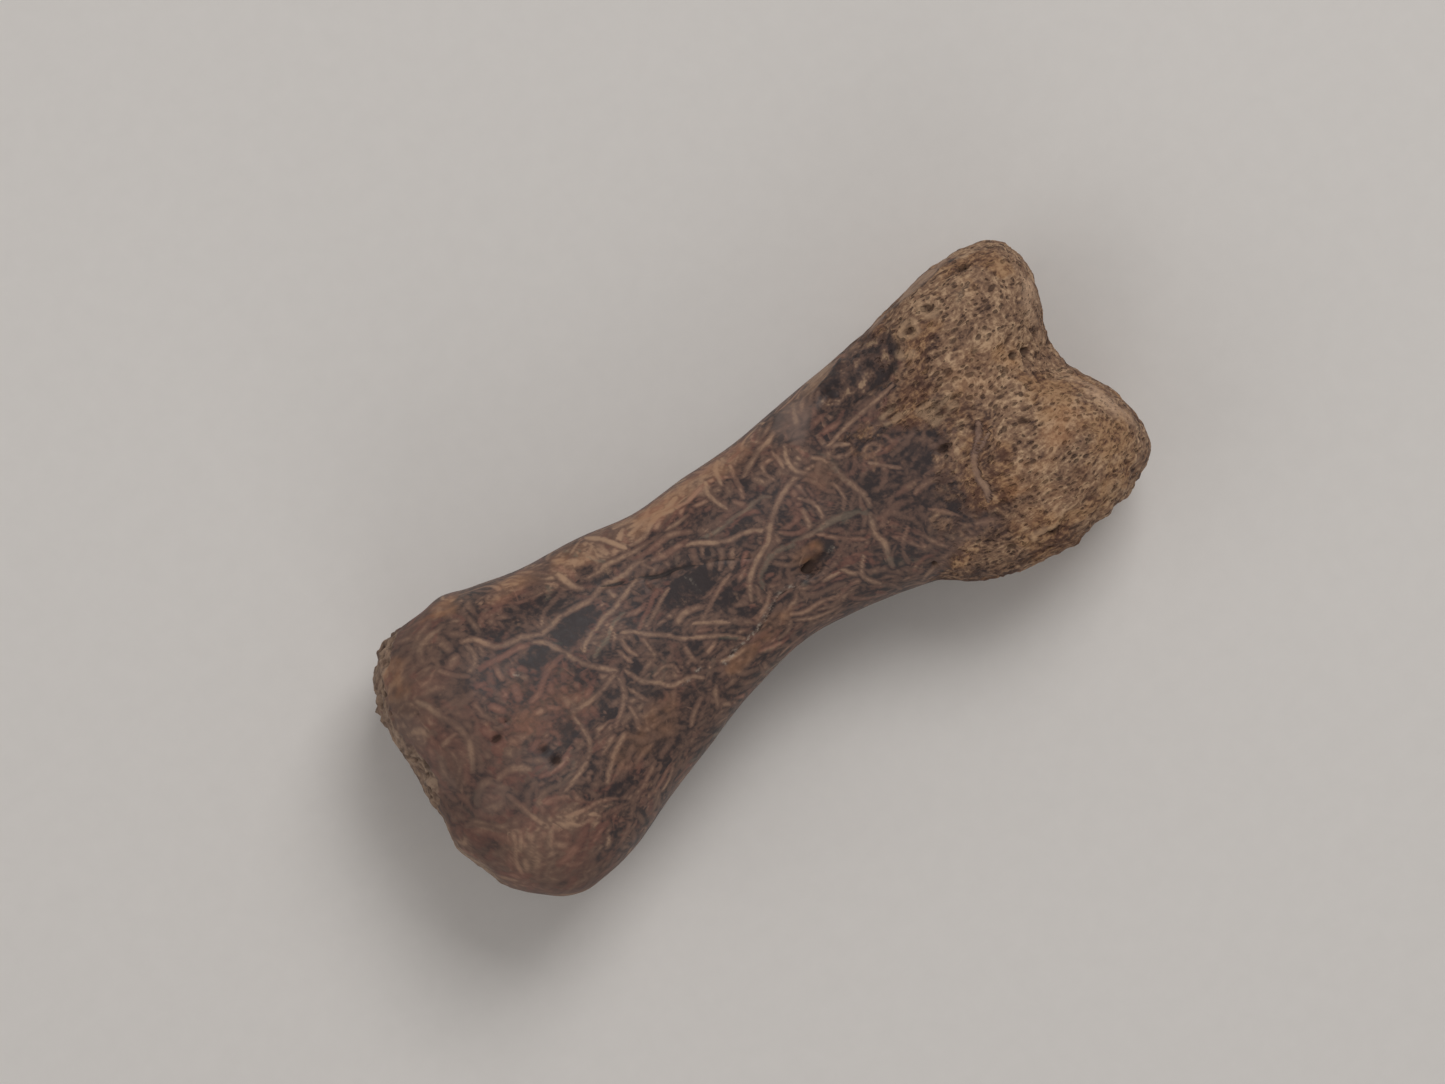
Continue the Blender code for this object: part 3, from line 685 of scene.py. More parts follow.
# %% Long lines on the upper face: half width, tone, then the x and y of their points
# A tone above 0 is grey-green, and one below it is reddish. Each has a lightness of its own.
PALE, BROWN, COOL, GREYISH, RUDDY = 0.0, -0.35, 0.75, 0.4, -0.9
LIGHT_OF_TONE = {PALE: 0.76, BROWN: 0.68, COOL: 0.60, GREYISH: 0.70, RUDDY: 0.66}
LONG_LINES = (
    (0.19, RUDDY, -13, 3.8, -12.4, 3.75, -11.8, 3.65, -11.2, 3.6, -10.6, 3.45, -10.1, 3.25),
    (0.20, PALE, -13, 5.3, -12.5, 5.1, -12.1, 4.6, -11.8, 4.2, -11.2, 4, -10.6, 3.9, -10.2, 3.65, -9.8, 3.5,
     -9.3, 3.5, -8.8, 3.62, -8.2, 3.62, -7.6, 3.55, -7, 3.5, -6.5, 3.62, -6.1, 3.7, -5.5, 3.6, -5, 3.55,
     -4.4, 3.65, -3.6, 3.5),
    (0.19, PALE, -10.3, 3.4, -9.9, 3.1, -9.7, 2.8, -9.5, 2.3, -9.3, 1.9, -9.05, 1.35, -8.7, 0.9, -8.4, 0.6,
     -8.1, 0.3, -7.9, 0.1),
    (0.17, BROWN, -10.3, -0.35, -9.7, -0.35, -9.1, -0.3, -8.6, -0.15, -8.1, 0),
    (0.17, PALE, -7.6, -0.1, -7.4, -0.6, -7.2, -1, -6.9, -1.3, -6.6, -1.5, -6.4, -1.8, -6.1, -2,
     -5.7, -2.05, -5.2, -2.15, -4.8, -2.5),
    (0.17, BROWN, -8, -0.3, -8.2, -0.9, -8.5, -1.3, -9, -1.7, -9.4, -2),
    (0.15, BROWN, -7.9, -0.9, -7.7, -1.5, -7.5, -1.9),
    (0.15, BROWN, -8.35, -1.6, -8.4, -2.2, -8.6, -2.7),
    (0.14, COOL, -8.4, 1.2, -8, 1.4, -7.5, 1.5, -7.1, 1.8, -6.6, 2, -6.1, 2.1),
    (0.18, PALE, -8.6, 1.7, -8.3, 1.98, -7.9, 2.15, -7.4, 2.3, -7, 2.45, -6.4, 2.5, -5.8, 2.7, -5.2, 2.9,
     -4.7, 3.05),
    (0.14, BROWN, -6.9, 1.1, -6.9, 0.5, -6.7, 0.1),
    (0.14, BROWN, -6.1, 0.9, -6.05, 0.4, -6.05, -0.1),
    (0.13, BROWN, -7.3, 0.8, -7.2, 0.3, -7.1, 0),
    (0.16, BROWN, -6.6, -1.1, -6, -1, -5.6, -1.3, -5.6, -1.6),
    (0.13, BROWN, -4.7, -0.7, -4.7, -1.2, -4.7, -1.7),
    (0.13, COOL, -3.3, -1.2, -2.8, -1.6, -2.3, -2),
    (0.16, PALE, -6.7, 1.4, -6.3, 1.2, -6, 0.9, -5.7, 0.6, -5.3, 0.3, -4.95, 0, -4.6, -0.4, -4.1, -0.7,
     -3.6, -1, -3.1, -1.3, -2.6, -1.7, -2.2, -2.1),
    (0.15, RUDDY, -5.9, 1.1, -5.4, 1.4, -5, 1.6, -4.6, 1.9, -4.2, 2.1),
    (0.15, PALE, -5.6, 1, -5.1, 1.2, -4.6, 1.45, -4.1, 1.7, -3.7, 1.85),
    (0.17, PALE, -10.75, -0.5, -10.7, -1, -10.7, -1.5, -10.8, -1.9, -11.1, -2.3, -11.5, -2.6, -12.2, -2.85,
     -13, -3.1),
    (0.21, PALE, -9.3, -2.5, -9.8, -2.8, -10.3, -3.1, -10.7, -3.4, -11.2, -3.9),
    (0.19, RUDDY, -11.9, 1.2, -11.4, 1.3, -11, 1.6, -10.5, 1.9, -10, 2.05, -9.6, 2.1),
    (0.17, PALE, -6.6, 4.4, -6, 4.35, -5.5, 4.4, -5, 4.3, -4.5, 4.25, -4, 4.15, -3.3, 4.1, -2.5, 4.05),
    (0.16, PALE, -5.6, 6, -5.2, 5.7, -4.9, 5.4, -4.7, 5.1, -4.5, 4.8, -4.3, 4.5),
    (0.22, PALE, -7.6, 5.3, -7.5, 5, -7.4, 4.6, -7.2, 4.3, -7, 4.1),
    (0.20, BROWN, -3.9, 3.8, -3.2, 3.8, -2.5, 3.85, -1.9, 3.7, -1.4, 3.4),
    (0.20, BROWN, -3.6, 3.35, -3, 3.2, -2.3, 3.2, -1.7, 3.1),
    (0.14, COOL, -1.2, 2.9, -0.6, 2.75, 0, 2.75, 0.6, 2.8, 1.2, 2.75, 1.8, 2.85, 2.3, 2.8, 2.6, 2.6),
    (0.17, PALE, -1.9, 3, -1.4, 2.8, -1, 2.5, -0.6, 2.25, -0.1, 2.05, 0.5, 1.95, 1, 1.8, 1.4, 1.5, 1.6, 1.3),
    (0.15, BROWN, -3, -0.1, -2.5, 0.15, -2, 0.4, -1.5, 0.6, -1, 0.75),
    (0.16, BROWN, -0.55, -0.95, -0.25, -0.4, 0.1, 0, 0.5, 0.35),
    (0.20, COOL, -0.1, -0.6, 0.1, -0.1, 0.5, 0.1, 0.9, 0.3, 1.4, 0.35, 2, 0.25, 2.6, 0.2, 3.2, 0.05,
     3.9, 0.1, 4.6, 0, 5.2, -0.2, 5.8, -0.5),
    (0.20, PALE, -0.9, -0.8, -0.7, -0.4, -0.4, 0, 0, 0.35, 0.4, 0.6, 0.9, 0.8, 1.3, 1, 1.6, 1.3, 2, 1.7,
     2.4, 2, 2.9, 2.3, 3.4, 2.5, 3.9, 2.65, 4.4, 2.7, 5, 2.65),
    (0.15, BROWN, 2, 1, 2.3, 0.7, 2.7, 0.5, 3, 0.5),
    (0.15, BROWN, 3.4, -0.1, 3.7, -0.4, 4.2, -0.9, 4.6, -1.2, 5, -1.5),
    (0.23, GREYISH, 5.9, -0.7, 5.7, -1.2, 5.6, -1.7, 5.7, -2.2, 5.5, -2.8, 5.4, -3.3),
    (0.21, GREYISH, 5.8, 2.3, 5.8, 1.9, 5.85, 1.4, 6, 0.9, 6.15, 0.4, 6.2, -0.1, 6.1, -0.4),
    (0.14, PALE, 5.3, 1.5, 5.4, 1, 5.3, 0.5, 5, 0.2),
    (0.17, PALE, 4.5, 2.6, 4.2, 3, 4.2, 3.6, 4.5, 4.2),
    (0.20, PALE, 2.1, 4.1, 2.5, 4.3, 2.9, 4.5, 3.4, 4.7, 4, 4.8, 4.5, 5),
    (0.16, PALE, 1.5, 5.4, 1.2, 5.1, 1.1, 4.7, 1, 4.3),
    (0.15, PALE, 0.5, 4.9, 0.3, 4.4, 0.4, 3.8, 0.6, 3.3),
    (0.16, BROWN, 1.9, 4.9, 1.75, 4.4, 1.7, 3.9, 1.5, 3.3),
    (0.15, BROWN, 3.8, 4.3, 3.9, 3.8, 3.8, 3.3),
    (0.15, BROWN, 3.1, 4.1, 3, 3.6, 3.2, 3.1),
    (0.15, PALE, 5.2, 3, 5.5, 2.7, 5.7, 2.4),
    (0.16, PALE, 6, 3.7, 6, 3, 5.85, 2.5),
    (0.15, PALE, 6, 3, 6.5, 2.8, 7, 2.5),
    (0.16, PALE, 6.1, 3, 6.8, 3.15, 7.6, 3.3, 8.5, 3.4, 9.4, 3.5, 10.2, 3.6),
    (0.15, PALE, 3.4, -2.1, 3.6, -2.4, 3.9, -2.7),
    (0.16, PALE, 4.6, -2.1, 4.2, -2.5, 4, -2.9, 4.2, -3.3, 4.5, -3.7),
    (0.15, BROWN, 6.2, -2.2, 6.6, -2.7, 6.9, -3.2),
    (0.15, BROWN, 7, -2.2, 6.6, -2.5, 6.2, -3, 6.1, -3.6),
    (0.14, BROWN, 8.3, -2.1, 8.8, -2.6, 9.2, -3.1),
    (0.14, PALE, 7.2, 1.3, 7.6, 0.9, 8, 0.5, 8.3, 0.2),
    (0.13, BROWN, 7.3, 1.5, 7.3, 1.85, 7.9, 1.9, 8.1, 1.6, 7.6, 1.45),
    (0.16, BROWN, 8.5, 1.9, 8.7, 1.4),
    (0.26, PALE, 12.4, -0.1, 12.1, -0.6, 11.7, -1, 11.2, -1.5, 11, -2.1, 11, -2.7, 10.8, -3.4),
    (0.20, BROWN, 10.1, -2.2, 10.3, -2.9, 10.3, -3.6),
    (0.15, PALE, 11.7, -1.2, 12.3, -0.9, 12.8, -0.6),
    (0.22, GREYISH, -16.2, 4.2, -15.9, 3.6, -15.7, 3.1, -15.5, 2.7, -15.35, 2.2, -15.3, 1.8, -15.3, 1.3,
     -15.5, 0.9, -15.7, 0.5, -16, 0.1),
    (0.14, PALE, -16.5, 1.9, -16, 1.95, -15.6, 2),
    (0.21, GREYISH, -15.35, -1.3, -15.3, -1.7, -15.2, -2.2, -15, -2.8, -14.7, -3.3, -14.6, -4),
    (0.26, GREYISH, -16.7, -1.2, -16.3, -0.8, -15.8, -0.65, -15.4, -0.9, -15.15, -1.5),
    (0.25, PALE, -15.2, -0.85, -14.8, -0.78, -14.4, -0.85, -14, -1.05, -13.75, -1.35),
    (0.18, PALE, -15.25, -1.7, -15.1, -2.3, -14.9, -3, -14.7, -3.7),
    (0.17, BROWN, -16, -3.2, -16.3, -3.8, -16.7, -4.4, -16.9, -5.1),
    (0.17, BROWN, -13.6, -4.1, -12.8, -4.3, -12, -4.4, -11.3, -4.7),
    (0.15, BROWN, -14.6, 4.8, -14.1, 4.2, -13.6, 3.8),
    (0.10, PALE, 8.2, 4.9, 8.6, 4.7, 9.1, 4.75),
    (0.09, PALE, 14.9, 5, 15.3, 5.3, 15.8, 5.5),
)

# %% Drawing a line over what is drawn already
FAR = 4.0
line_reach = np.full(GRID, FAR)
line_tone = np.zeros(GRID)
line_light = np.zeros(GRID)


def draw(window, line, half_width, gap, tone, light):
    """Draws a line, in space or in plan, on the points of a window, over what is there.

    What is kept is the reach: the distance from the line over its half width. Near the new line the
    reach of the older ones is raised to 2 + gap less the new reach, which leaves a dark gap between
    them, and the smaller of the two counts. The field stays continuous, so its edges come out smooth,
    and tone and light change hands in the middle of the gap.
    """
    middle = np.linspace(-1, 1, len(line) - 1)
    places = base[window][..., : line.shape[1]]
    reach = distance_to_line(places, line, half_width * (1 - 0.25 * middle**6))
    older = line_reach[window]
    line_reach[window] = np.minimum(reach, np.maximum(older, 2 + gap - reach))
    taken = (reach < 1 + gap / 2) & (reach < older + gap)
    line_tone[window] = np.where(taken, tone, line_tone[window])
    line_light[window] = np.where(taken, light, line_light[window])


# %% [markdown]
# ### The felt of short strokes
# Between the long lines lie thousands of short, bent strokes, the traces of rootlets. Each is placed
# on a random point of the surface, in a direction that its neighbours nearly share, and is drawn over
# the ones before it. Dark patches stay free of them, as on the real bone.


# %% Short strokes
def stroke_directions():
    """The heading of the felt at each point, in radians from the bone's length towards +Y."""
    upright = spot(x, y, (2.2, 4.6), (3.4, 0.9)) * facing_up
    level = np.maximum(spot(x, y, (2.0, -3.2), (5.5, 0.9)), spot(x, y, (7.8, 1.0), (1.6, 3.5))) * facing_up
    level = np.maximum(level, 0.9 * spot(x, y, (-8.0, -3.8), (4.0, 1.3)))
    return 2.8 * lattice_noise(base, 2.9, 171) * (1 - level) * (1 - upright) + 1.5 * upright


STROKES, STROKE_WINDOW = 5000, 17
STROKE_LENGTH, STROKE_HALF_WIDTH = (0.9, 2.7), (0.15, 0.24)
STROKE_LIGHT, STROKE_GAP = (0.40, 0.84), (-0.15, 0.45)
TURN_SPREAD, BEND_SPREAD, SWAY_SPREAD = 0.26, 0.34, 0.30


def scatter_strokes(seed):
    """Draws the strokes one by one. Each is an arc in its point's tangent plane."""
    random = np.random.default_rng(seed)
    heading = stroke_directions()
    along_bone = np.gradient(base, axis=0)
    along_bone /= np.linalg.norm(along_bone, axis=-1, keepdims=True)
    around_bone = np.cross(normals, along_bone)
    chance = area * np.clip(1.1 - dark * 1.2, 0, 1) * (1 - 0.8 * spongy) * (1 - side_band)
    sites = draw_sites(random, STROKES, chance)
    near_pebbles = spot(x, y, (-11.0, 0.2), (2.6, 2.2))
    steps = np.linspace(-0.5, 0.5, 7)[:, None]
    spreads = (TURN_SPREAD, BEND_SPREAD, SWAY_SPREAD)
    turns, bends, sways = (random.normal(0, spread, STROKES) for spread in spreads)
    for site, turn_by, bend, sway in zip(sites, turns, bends, sways):
        row, column, window = window_around(site, STROKE_WINDOW)
        short = near_pebbles[row, column]
        length = random.uniform(*STROKE_LENGTH) * (1 - 0.65 * short)
        half_width = random.uniform(*STROKE_HALF_WIDTH) + 0.09 * calm[row, column]
        angle = heading[row, column] + turn_by * (1 + short)
        way = np.cos(angle) * along_bone[row, column] + np.sin(angle) * around_bone[row, column]
        side = np.cross(normals[row, column], way)
        run = steps * length
        line = base[row, column] + run * way + (bend * run**2 + sway * run**3) * side
        tone = random.normal(-0.2 - 0.4 * short, 0.33)
        light = random.uniform(*STROKE_LIGHT)
        draw(window, line, half_width, random.uniform(*STROKE_GAP), tone, light)


# %% Pebbles: short, fat strokes that lie close together near the socket
PEBBLES, PEBBLE_WINDOW = 150, 10
PEBBLE_LENGTH, PEBBLE_HALF_WIDTH = (0.05, 0.55), (0.20, 0.33)
PEBBLE_LIGHT, PEBBLE_GAP = (0.38, 0.74), (-0.1, 0.4)
pebbly = spot(x, y, (-11.4, 0.9), (2.0, 1.5)) * facing_up


def scatter_pebbles(seed):
    """Draws rounded strokes of 0.05 to 0.55 mm, each with a dark gap around it."""
    random = np.random.default_rng(seed)
    for site in draw_sites(random, PEBBLES, (pebbly * (1 - dark)) ** 1.5):
        row, column, window = window_around(site, PEBBLE_WINDOW)
        angle = random.uniform(0, np.pi)
        run = np.linspace(-0.5, 0.5, 3)[:, None] * random.uniform(*PEBBLE_LENGTH)
        line = base[row, column] + run * np.array([np.cos(angle), np.sin(angle), 0.0])
        tone, light = random.normal(-1.0, 0.35), random.uniform(*PEBBLE_LIGHT)
        half_width, gap = random.uniform(*PEBBLE_HALF_WIDTH), random.uniform(*PEBBLE_GAP)
        draw(window, line, half_width, gap, tone, light)


# %% Long wandering lines on the hidden sides
WANDERING_LINES, WALK_STEP = 80, 0.3
NUDGE_ALONG, NUDGE_AROUND = 0.002, 0.01


def wandering_line(random):
    """A random walk on the surface in even steps, as points in space."""
    at = np.array([random.uniform(-0.1, 1.05), random.uniform(np.pi * 0.95, np.pi * 2.05)])
    heading = random.uniform(0, 2 * np.pi)
    steps = random.integers(8, 34)
    walk = []
    for _ in range(steps):
        here = bone_surface(at[:1], at[1:])[0]
        walk.append(here)
        further = bone_surface(at[:1] + NUDGE_ALONG, at[1:])[0]
        beside = bone_surface(at[:1], at[1:] + NUDGE_AROUND)[0]
        ahead = np.linalg.norm(further - here) / NUDGE_ALONG
        beside = np.linalg.norm(beside - here) / NUDGE_AROUND
        at = at + WALK_STEP * np.array([np.cos(heading) / ahead, np.sin(heading) / beside])
        heading += random.normal(0, 0.16)
    return np.array(walk)


def draw_wandering_lines(seed):
    """Draws random long lines, where the surface doesn't face up."""
    random = np.random.default_rng(seed)
    for _ in range(WANDERING_LINES):
        # A walk that runs over a pole finds no next step. Its points are no numbers, so it isn't drawn
        with np.errstate(divide="ignore", invalid="ignore"):
            line = wandering_line(random)
        half_width = random.uniform(0.12, 0.19)
        window = near_line(base, line, 3 * half_width) & (normals[..., 2] < 0.35)
        tone = random.choice((PALE, PALE, PALE, COOL, RUDDY))
        draw(window, line, half_width, 0.4, tone, random.uniform(0.6, 1.0))


# %% Dark patches: each row is the x and y of a polygon's corners in plan
DARK_PATCHES = (
    (-11.5, 3.1, -10.2, 3.25, -9.8, 2.9, -9.5, 2.3, -10.5, 2.2, -11.2, 2.5),
    (-9.4, 3.3, -8, 3.4, -7.1, 3.3, -7, 2.7, -8, 2.4, -8.8, 2.1, -9.2, 2.4),
    (-6.5, 4.05, -5.4, 4.15, -4.9, 4, -5.6, 3.8, -6.3, 3.85),
    (-4.5, 1.2, -3.9, 1.8, -3, 2, -2, 1.8, -1.4, 1.25, -2, 0.8, -3, 0.6, -4, 0.8),
    (-2.4, 0, -1.4, 0.4, -0.9, 0.35, -0.9, -0.3, -1.4, -0.5, -2.1, -0.4),
    (-4.4, -0.9, -3.9, -0.85, -3.8, -1.2, -4.1, -1.8, -4.4, -1.7),
    (-7.2, 0.1, -6.9, 0.1, -6.8, -0.6, -7.2, -0.6),
    (-11.6, -0.6, -11.1, -0.6, -11.1, -1.4, -11.7, -1.3),
    (-12.9, -0.8, -12.4, -0.8, -12.3, -1.8, -12.8, -1.8),
    (3, -0.15, 3.25, -0.15, 3.8, -0.75, 3.7, -0.95, 3.3, -0.9),
    (-15.8, -0.2, -15.5, -0.2, -15.2, -0.7, -15.5, -0.7),
)
DIM_PATCHES = (
    (-10.6, 5.3, -9, 5.1, -7.9, 4.7, -7.6, 4.2, -8.5, 4, -9.6, 4.1, -10.7, 4.4),
    (-12.3, 5.3, -11.4, 5.1, -11.2, 4.6, -11.5, 4.4, -12, 4.8),
    (-9.2, 6, -8.5, 6.1, -8.2, 5.7, -8.6, 5.4, -9.1, 5.5),
    (-6.8, 1, -6.3, 0.9, -6.2, 0.2, -6.6, 0.2),
    (-7.6, 1.4, -7.2, 1.5, -7.3, 0.6, -7.7, 0.7),
    (-9.5, -0.5, -8.4, -0.4, -8.3, -0.8, -9.2, -1),
    (-14.9, -1.9, -14.2, -2, -14.2, -2.6, -14.8, -2.6),
    (-14.6, 3.9, -13.6, 3.8, -13.4, 3.4, -14.3, 3.3),
    (-6.9, -1.5, -6.4, -1.5, -6.2, -2, -6.7, -2.1),
    (-5.2, -0.5, -4.7, -0.8, -5, -1.4, -5.5, -1),
    (-5.3, 0.7, -4.6, 0.7, -4.4, 0.3, -4.9, 0.2),
    (-0.2, 2.5, 1.8, 2.55, 1.9, 2.2, 0.8, 2.1, 0, 2.25),
    (0, 1.8, 0.9, 1.7, 0.7, 1.1, 0.1, 1.3),
    (-1.1, 3.9, 0, 3.9, -0.1, 3.2, -0.9, 3.3),
    (1.8, 4.1, 2.2, 4.2, 2.2, 3.3, 1.8, 3.2),
    (2.4, 1.9, 2.9, 1.8, 2.8, 1.1, 2.3, 1.3),
    (5, 4.2, 6.2, 4.1, 5.9, 3.2, 5.2, 3.3),
    (2.6, -0.7, 3.6, -0.6, 3.5, -1.05, 2.7, -1.1),
    (6.4, 1, 6.9, 0.8, 6.6, -0.2, 6.3, 0),
    (7.9, 1.3, 9.6, 1.1, 9.9, 0.2, 9.2, -0.6, 8, -0.4),
    (8, 2, 9.9, 2, 10, 1.3, 8.4, 1.5),
    (6.9, 2.9, 7.9, 2.8, 7.7, 2.2, 7, 2.3),
    (7, 3.9, 10, 3.9, 11.2, 3.7, 9, 3.6, 7.3, 3.7),
    (11.2, -1.8, 12.8, -0.9, 13.1, -2.2, 12, -2.9, 11.1, -3),
    (8.1, -1.3, 9.6, -1.2, 10.2, -2.2, 9.6, -3.4, 8.4, -3),
    (4.6, -1.9, 5.3, -1.8, 5, -2.9, 4.5, -2.7),
    (-2, -2.4, -0.9, -2.2, -1, -2.5, -1.9, -2.7),
    (-6.5, 1.6, -6.2, 2, -5.8, 1.8, -5.9, 1.25, -6.3, 1.35),
    (-5.95, 0.3, -5.5, 0.25, -5.3, -0.3, -5.4, -0.7, -5.9, -0.5),
    (-7.5, -0.9, -7.2, -1.2, -6.7, -1.65, -6.5, -2, -6.8, -2.3, -7.3, -2.1, -7.5, -1.6),
    (-5.6, -1.1, -5.1, -1.2, -5, -2, -5.5, -1.9),
    (-8.3, 1, -8, 1.3, -7.2, 1.2, -7.1, 0.8, -7.6, 0.6, -8.2, 0.7),
    (-4.3, 2.95, -3.9, 2.6, -3.3, 2.45, -3.3, 2.15, -3.9, 2.2, -4.3, 2.45),
    (10.2, 1, 11, 1, 11, 0.3, 10.3, 0.3),
    (12.7, 0.8, 13.1, 0.6, 12.9, -0.8, 12.6, -0.4),
    (14.3, 4, 15.3, 3.7, 15.3, 3.2, 14.4, 3.3),
    (-14.5, -1.4, -14.1, -1.6, -14.2, -2.6, -14.6, -2.8),
    (-16.3, 2.9, -15.8, 2.8, -15.8, 2.3, -16.6, 2.3),
    (0.2, -1.6, 0.8, -1.5, 0.8, -1.85, 0.3, -1.95),
    (-14.2, -5, -13.2, -4.9, -13, -5.5, -13.9, -5.6),
    (-11.2, -4.3, -10.2, -4, -10.1, -4.5, -11, -4.8),
)
ragged = layered_noise(base, 0.6, 131)
dark = np.zeros(GRID)
for strength, polygons in ((0.93, DARK_PATCHES), (0.5, DIM_PATCHES)):
    for polygon in polygons:
        inside = depth_inside(polygon) + 0.11 * ragged
        dark = np.maximum(dark, strength * smoothstep(-0.17, 0.09, inside))
dark = np.maximum(dark, hidden * smoothstep(0.5, 0.9, layered_noise(base, 1.7, 141)))
dark = np.maximum(dark, 0.8 * chip_mask)
print("dark share:", f"{dark.mean():.0%}")

# %% Warm patches, paler patches with painted edge light, and painted sheen: x, y, half length, half width, turn in degrees, strength
WARM_PATCHES = (
    (-2.0, 5.2, 2.2, 0.6, 0, 0.7), (2.5, -0.5, 0.8, 0.35, 0, 0.8), (-2.8, -2.8, 0.9, 0.35, 10, 0.6),
    (-0.6, -2.4, 0.8, 0.4, 10, 0.55), (-12.8, 7.3, 1.0, 0.6, 0, 1.0), (-9.6, 6.1, 1.2, 0.5, 0, 0.6),
    (15.6, -2.5, 1.2, 0.8, 0, 0.8), (12.6, -3.4, 1.4, 0.6, 0, 0.7), (-16.9, 6.2, 1.3, 0.6, 0, 0.6),
    (-11.5, 0.6, 2.2, 1.5, 0, 0.28), (-8.0, -3.0, 2.2, 0.8, 10, 0.4), (5.2, 2.0, 0.8, 0.8, 0, 0.2),
    (-6.5, 5.6, 1.2, 0.6, -10, 0.6), (1.5, 5.2, 1.6, 0.6, 0, 0.5), (14.2, 1.8, 1.8, 1.2, 0, 0.35),
    (-17.0, 5.6, 0.9, 0.8, 0, 0.7), (13.5, -5.2, 2.2, 0.8, -5, 0.35),
)
# Paler bone in places, and painted light: the bands along the shaft's upper edge and the patches by the
# lower edges of the lobes and knuckle lighten those edges as light falling on them would
PALE_AND_PAINTED_EDGE_LIGHT_PATCHES = (
    (-2.2, 5.3, 6.4, 0.75, 0, 1.15), (-15.2, -4.8, 2.8, 1.9, 0, 0.5), (-17.0, 4.0, 1.0, 1.6, 0, 0.4),
    (14.9, 5.2, 3.0, 0.9, 0, 0.15), (14.2, -4.7, 3.6, 1.9, 0, 0.65), (16.0, -2.0, 1.4, 1.6, 0, 0.5),
    (9.0, -5.0, 2.0, 0.8, -18, 0.45), (14.0, 2.2, 2.4, 1.6, 0, 0.7),
    (1.6, 5.3, 1.8, 0.7, 0, 1.0), (-9.5, 6.1, 1.8, 0.5, -8, 0.7), (4.6, 3.6, 1.2, 0.7, 0, 0.4),
    (-17.1, 6.0, 1.0, 0.9, 0, 0.8),
)
# Painted sheen: greyish veils where the shine of the light lies on the bone
PAINTED_SHEEN_PATCHES = (
    (5.6, 4.8, 1.3, 0.7, 20, 0.7), (-16.0, -1.5, 1.0, 0.8, 0, 0.2), (-17.4, 2.2, 0.7, 2.2, 0, 0.3),
)


def soft_ellipses(table, seed):
    """Soft turned ellipses with ragged edges on the upper face, from 0 to their strength."""
    frayed = 0.35 * layered_noise(base, 0.7, seed)
    total = np.zeros(GRID)
    for *ellipse, strength in table:
        total = np.maximum(total, smoothstep(1.4, 0.5, from_ellipse(*ellipse) + frayed) * strength)
    return total * facing_up


warm = soft_ellipses(WARM_PATCHES, 151)
pale_and_painted_edge_light = soft_ellipses(PALE_AND_PAINTED_EDGE_LIGHT_PATCHES, 155)
painted_sheen = soft_ellipses(PAINTED_SHEEN_PATCHES, 158)
warm = np.maximum(warm, 0.6 * smoothstep(0.3, 1.1, layered_noise(base, 2.4, 161)) * hidden)
print("warm share:", f"{warm.mean():.0%}")

# %% Draw all the lines, the short ones first
scatter_strokes(181)
line_light += 0.45 * calm * (0.56 - line_light)
line_light *= 1 - 0.25 * calm_shaft
line_tone *= 1 - 0.6 * calm_shaft
scatter_pebbles(191)
line_light *= 1 - 0.8 * dark
draw_wandering_lines(121)
for half_width, tone, *row in LONG_LINES:
    line = smooth_line(row)
    draw(near_line(plan, line, 3 * half_width) & on_top, line, half_width, 0.1, tone, LIGHT_OF_TONE[tone])
print("share covered by lines:", f"{(line_reach < 1).mean():.0%}")

# %% [markdown]
# ## The mesh
# The grid becomes quads between rings and a fan of triangles at each pole. Each mask and distance is
# stored on the points as a named attribute, which the material reads.


# %% Build the mesh
def closed_grid_mesh(name, rings, poles):
    """A closed mesh from rings of points and two poles, with its faces pointing outwards."""
    count, size = rings.shape[:2]
    ring = np.arange(count - 1)[:, None] * size
    here = np.arange(size)[None, :]
    beside = (here + 1) % size
    quads = np.stack((ring + here, ring + beside, ring + size + beside, ring + size + here), axis=-1)
    first, last = np.arange(size), (count - 1) * size + np.arange(size)
    low_pole, high_pole = count * size, count * size + 1
    low_fan = np.stack((np.full(size, low_pole), np.roll(first, -1), first), axis=-1)
    high_fan = np.stack((np.full(size, high_pole), last, np.roll(last, -1)), axis=-1)
    mesh = bpy.data.meshes.new(name)
    points = np.concatenate((rings.reshape(-1, 3), poles)) * MM
    faces = quads.reshape(-1, 4).tolist() + low_fan.tolist() + high_fan.tolist()
    mesh.from_pydata(points, [], faces)
    mesh.shade_smooth()
    return mesh


def new_object(name, data):
    """A new object in the scene, which shows a mesh, a light or a camera."""
    made = bpy.data.objects.new(name, data)
    bpy.context.scene.collection.objects.link(made)
    return made


def store(mesh, name, values):
    """Keeps one number for each point as a named attribute; each pole takes its ring's mean."""
    attribute = mesh.attributes.new(name, "FLOAT", "POINT")
    with_poles = (values.ravel(), [values[0].mean(), values[-1].mean()])
    attribute.data.foreach_set("value", np.concatenate(with_poles).astype(np.float32))


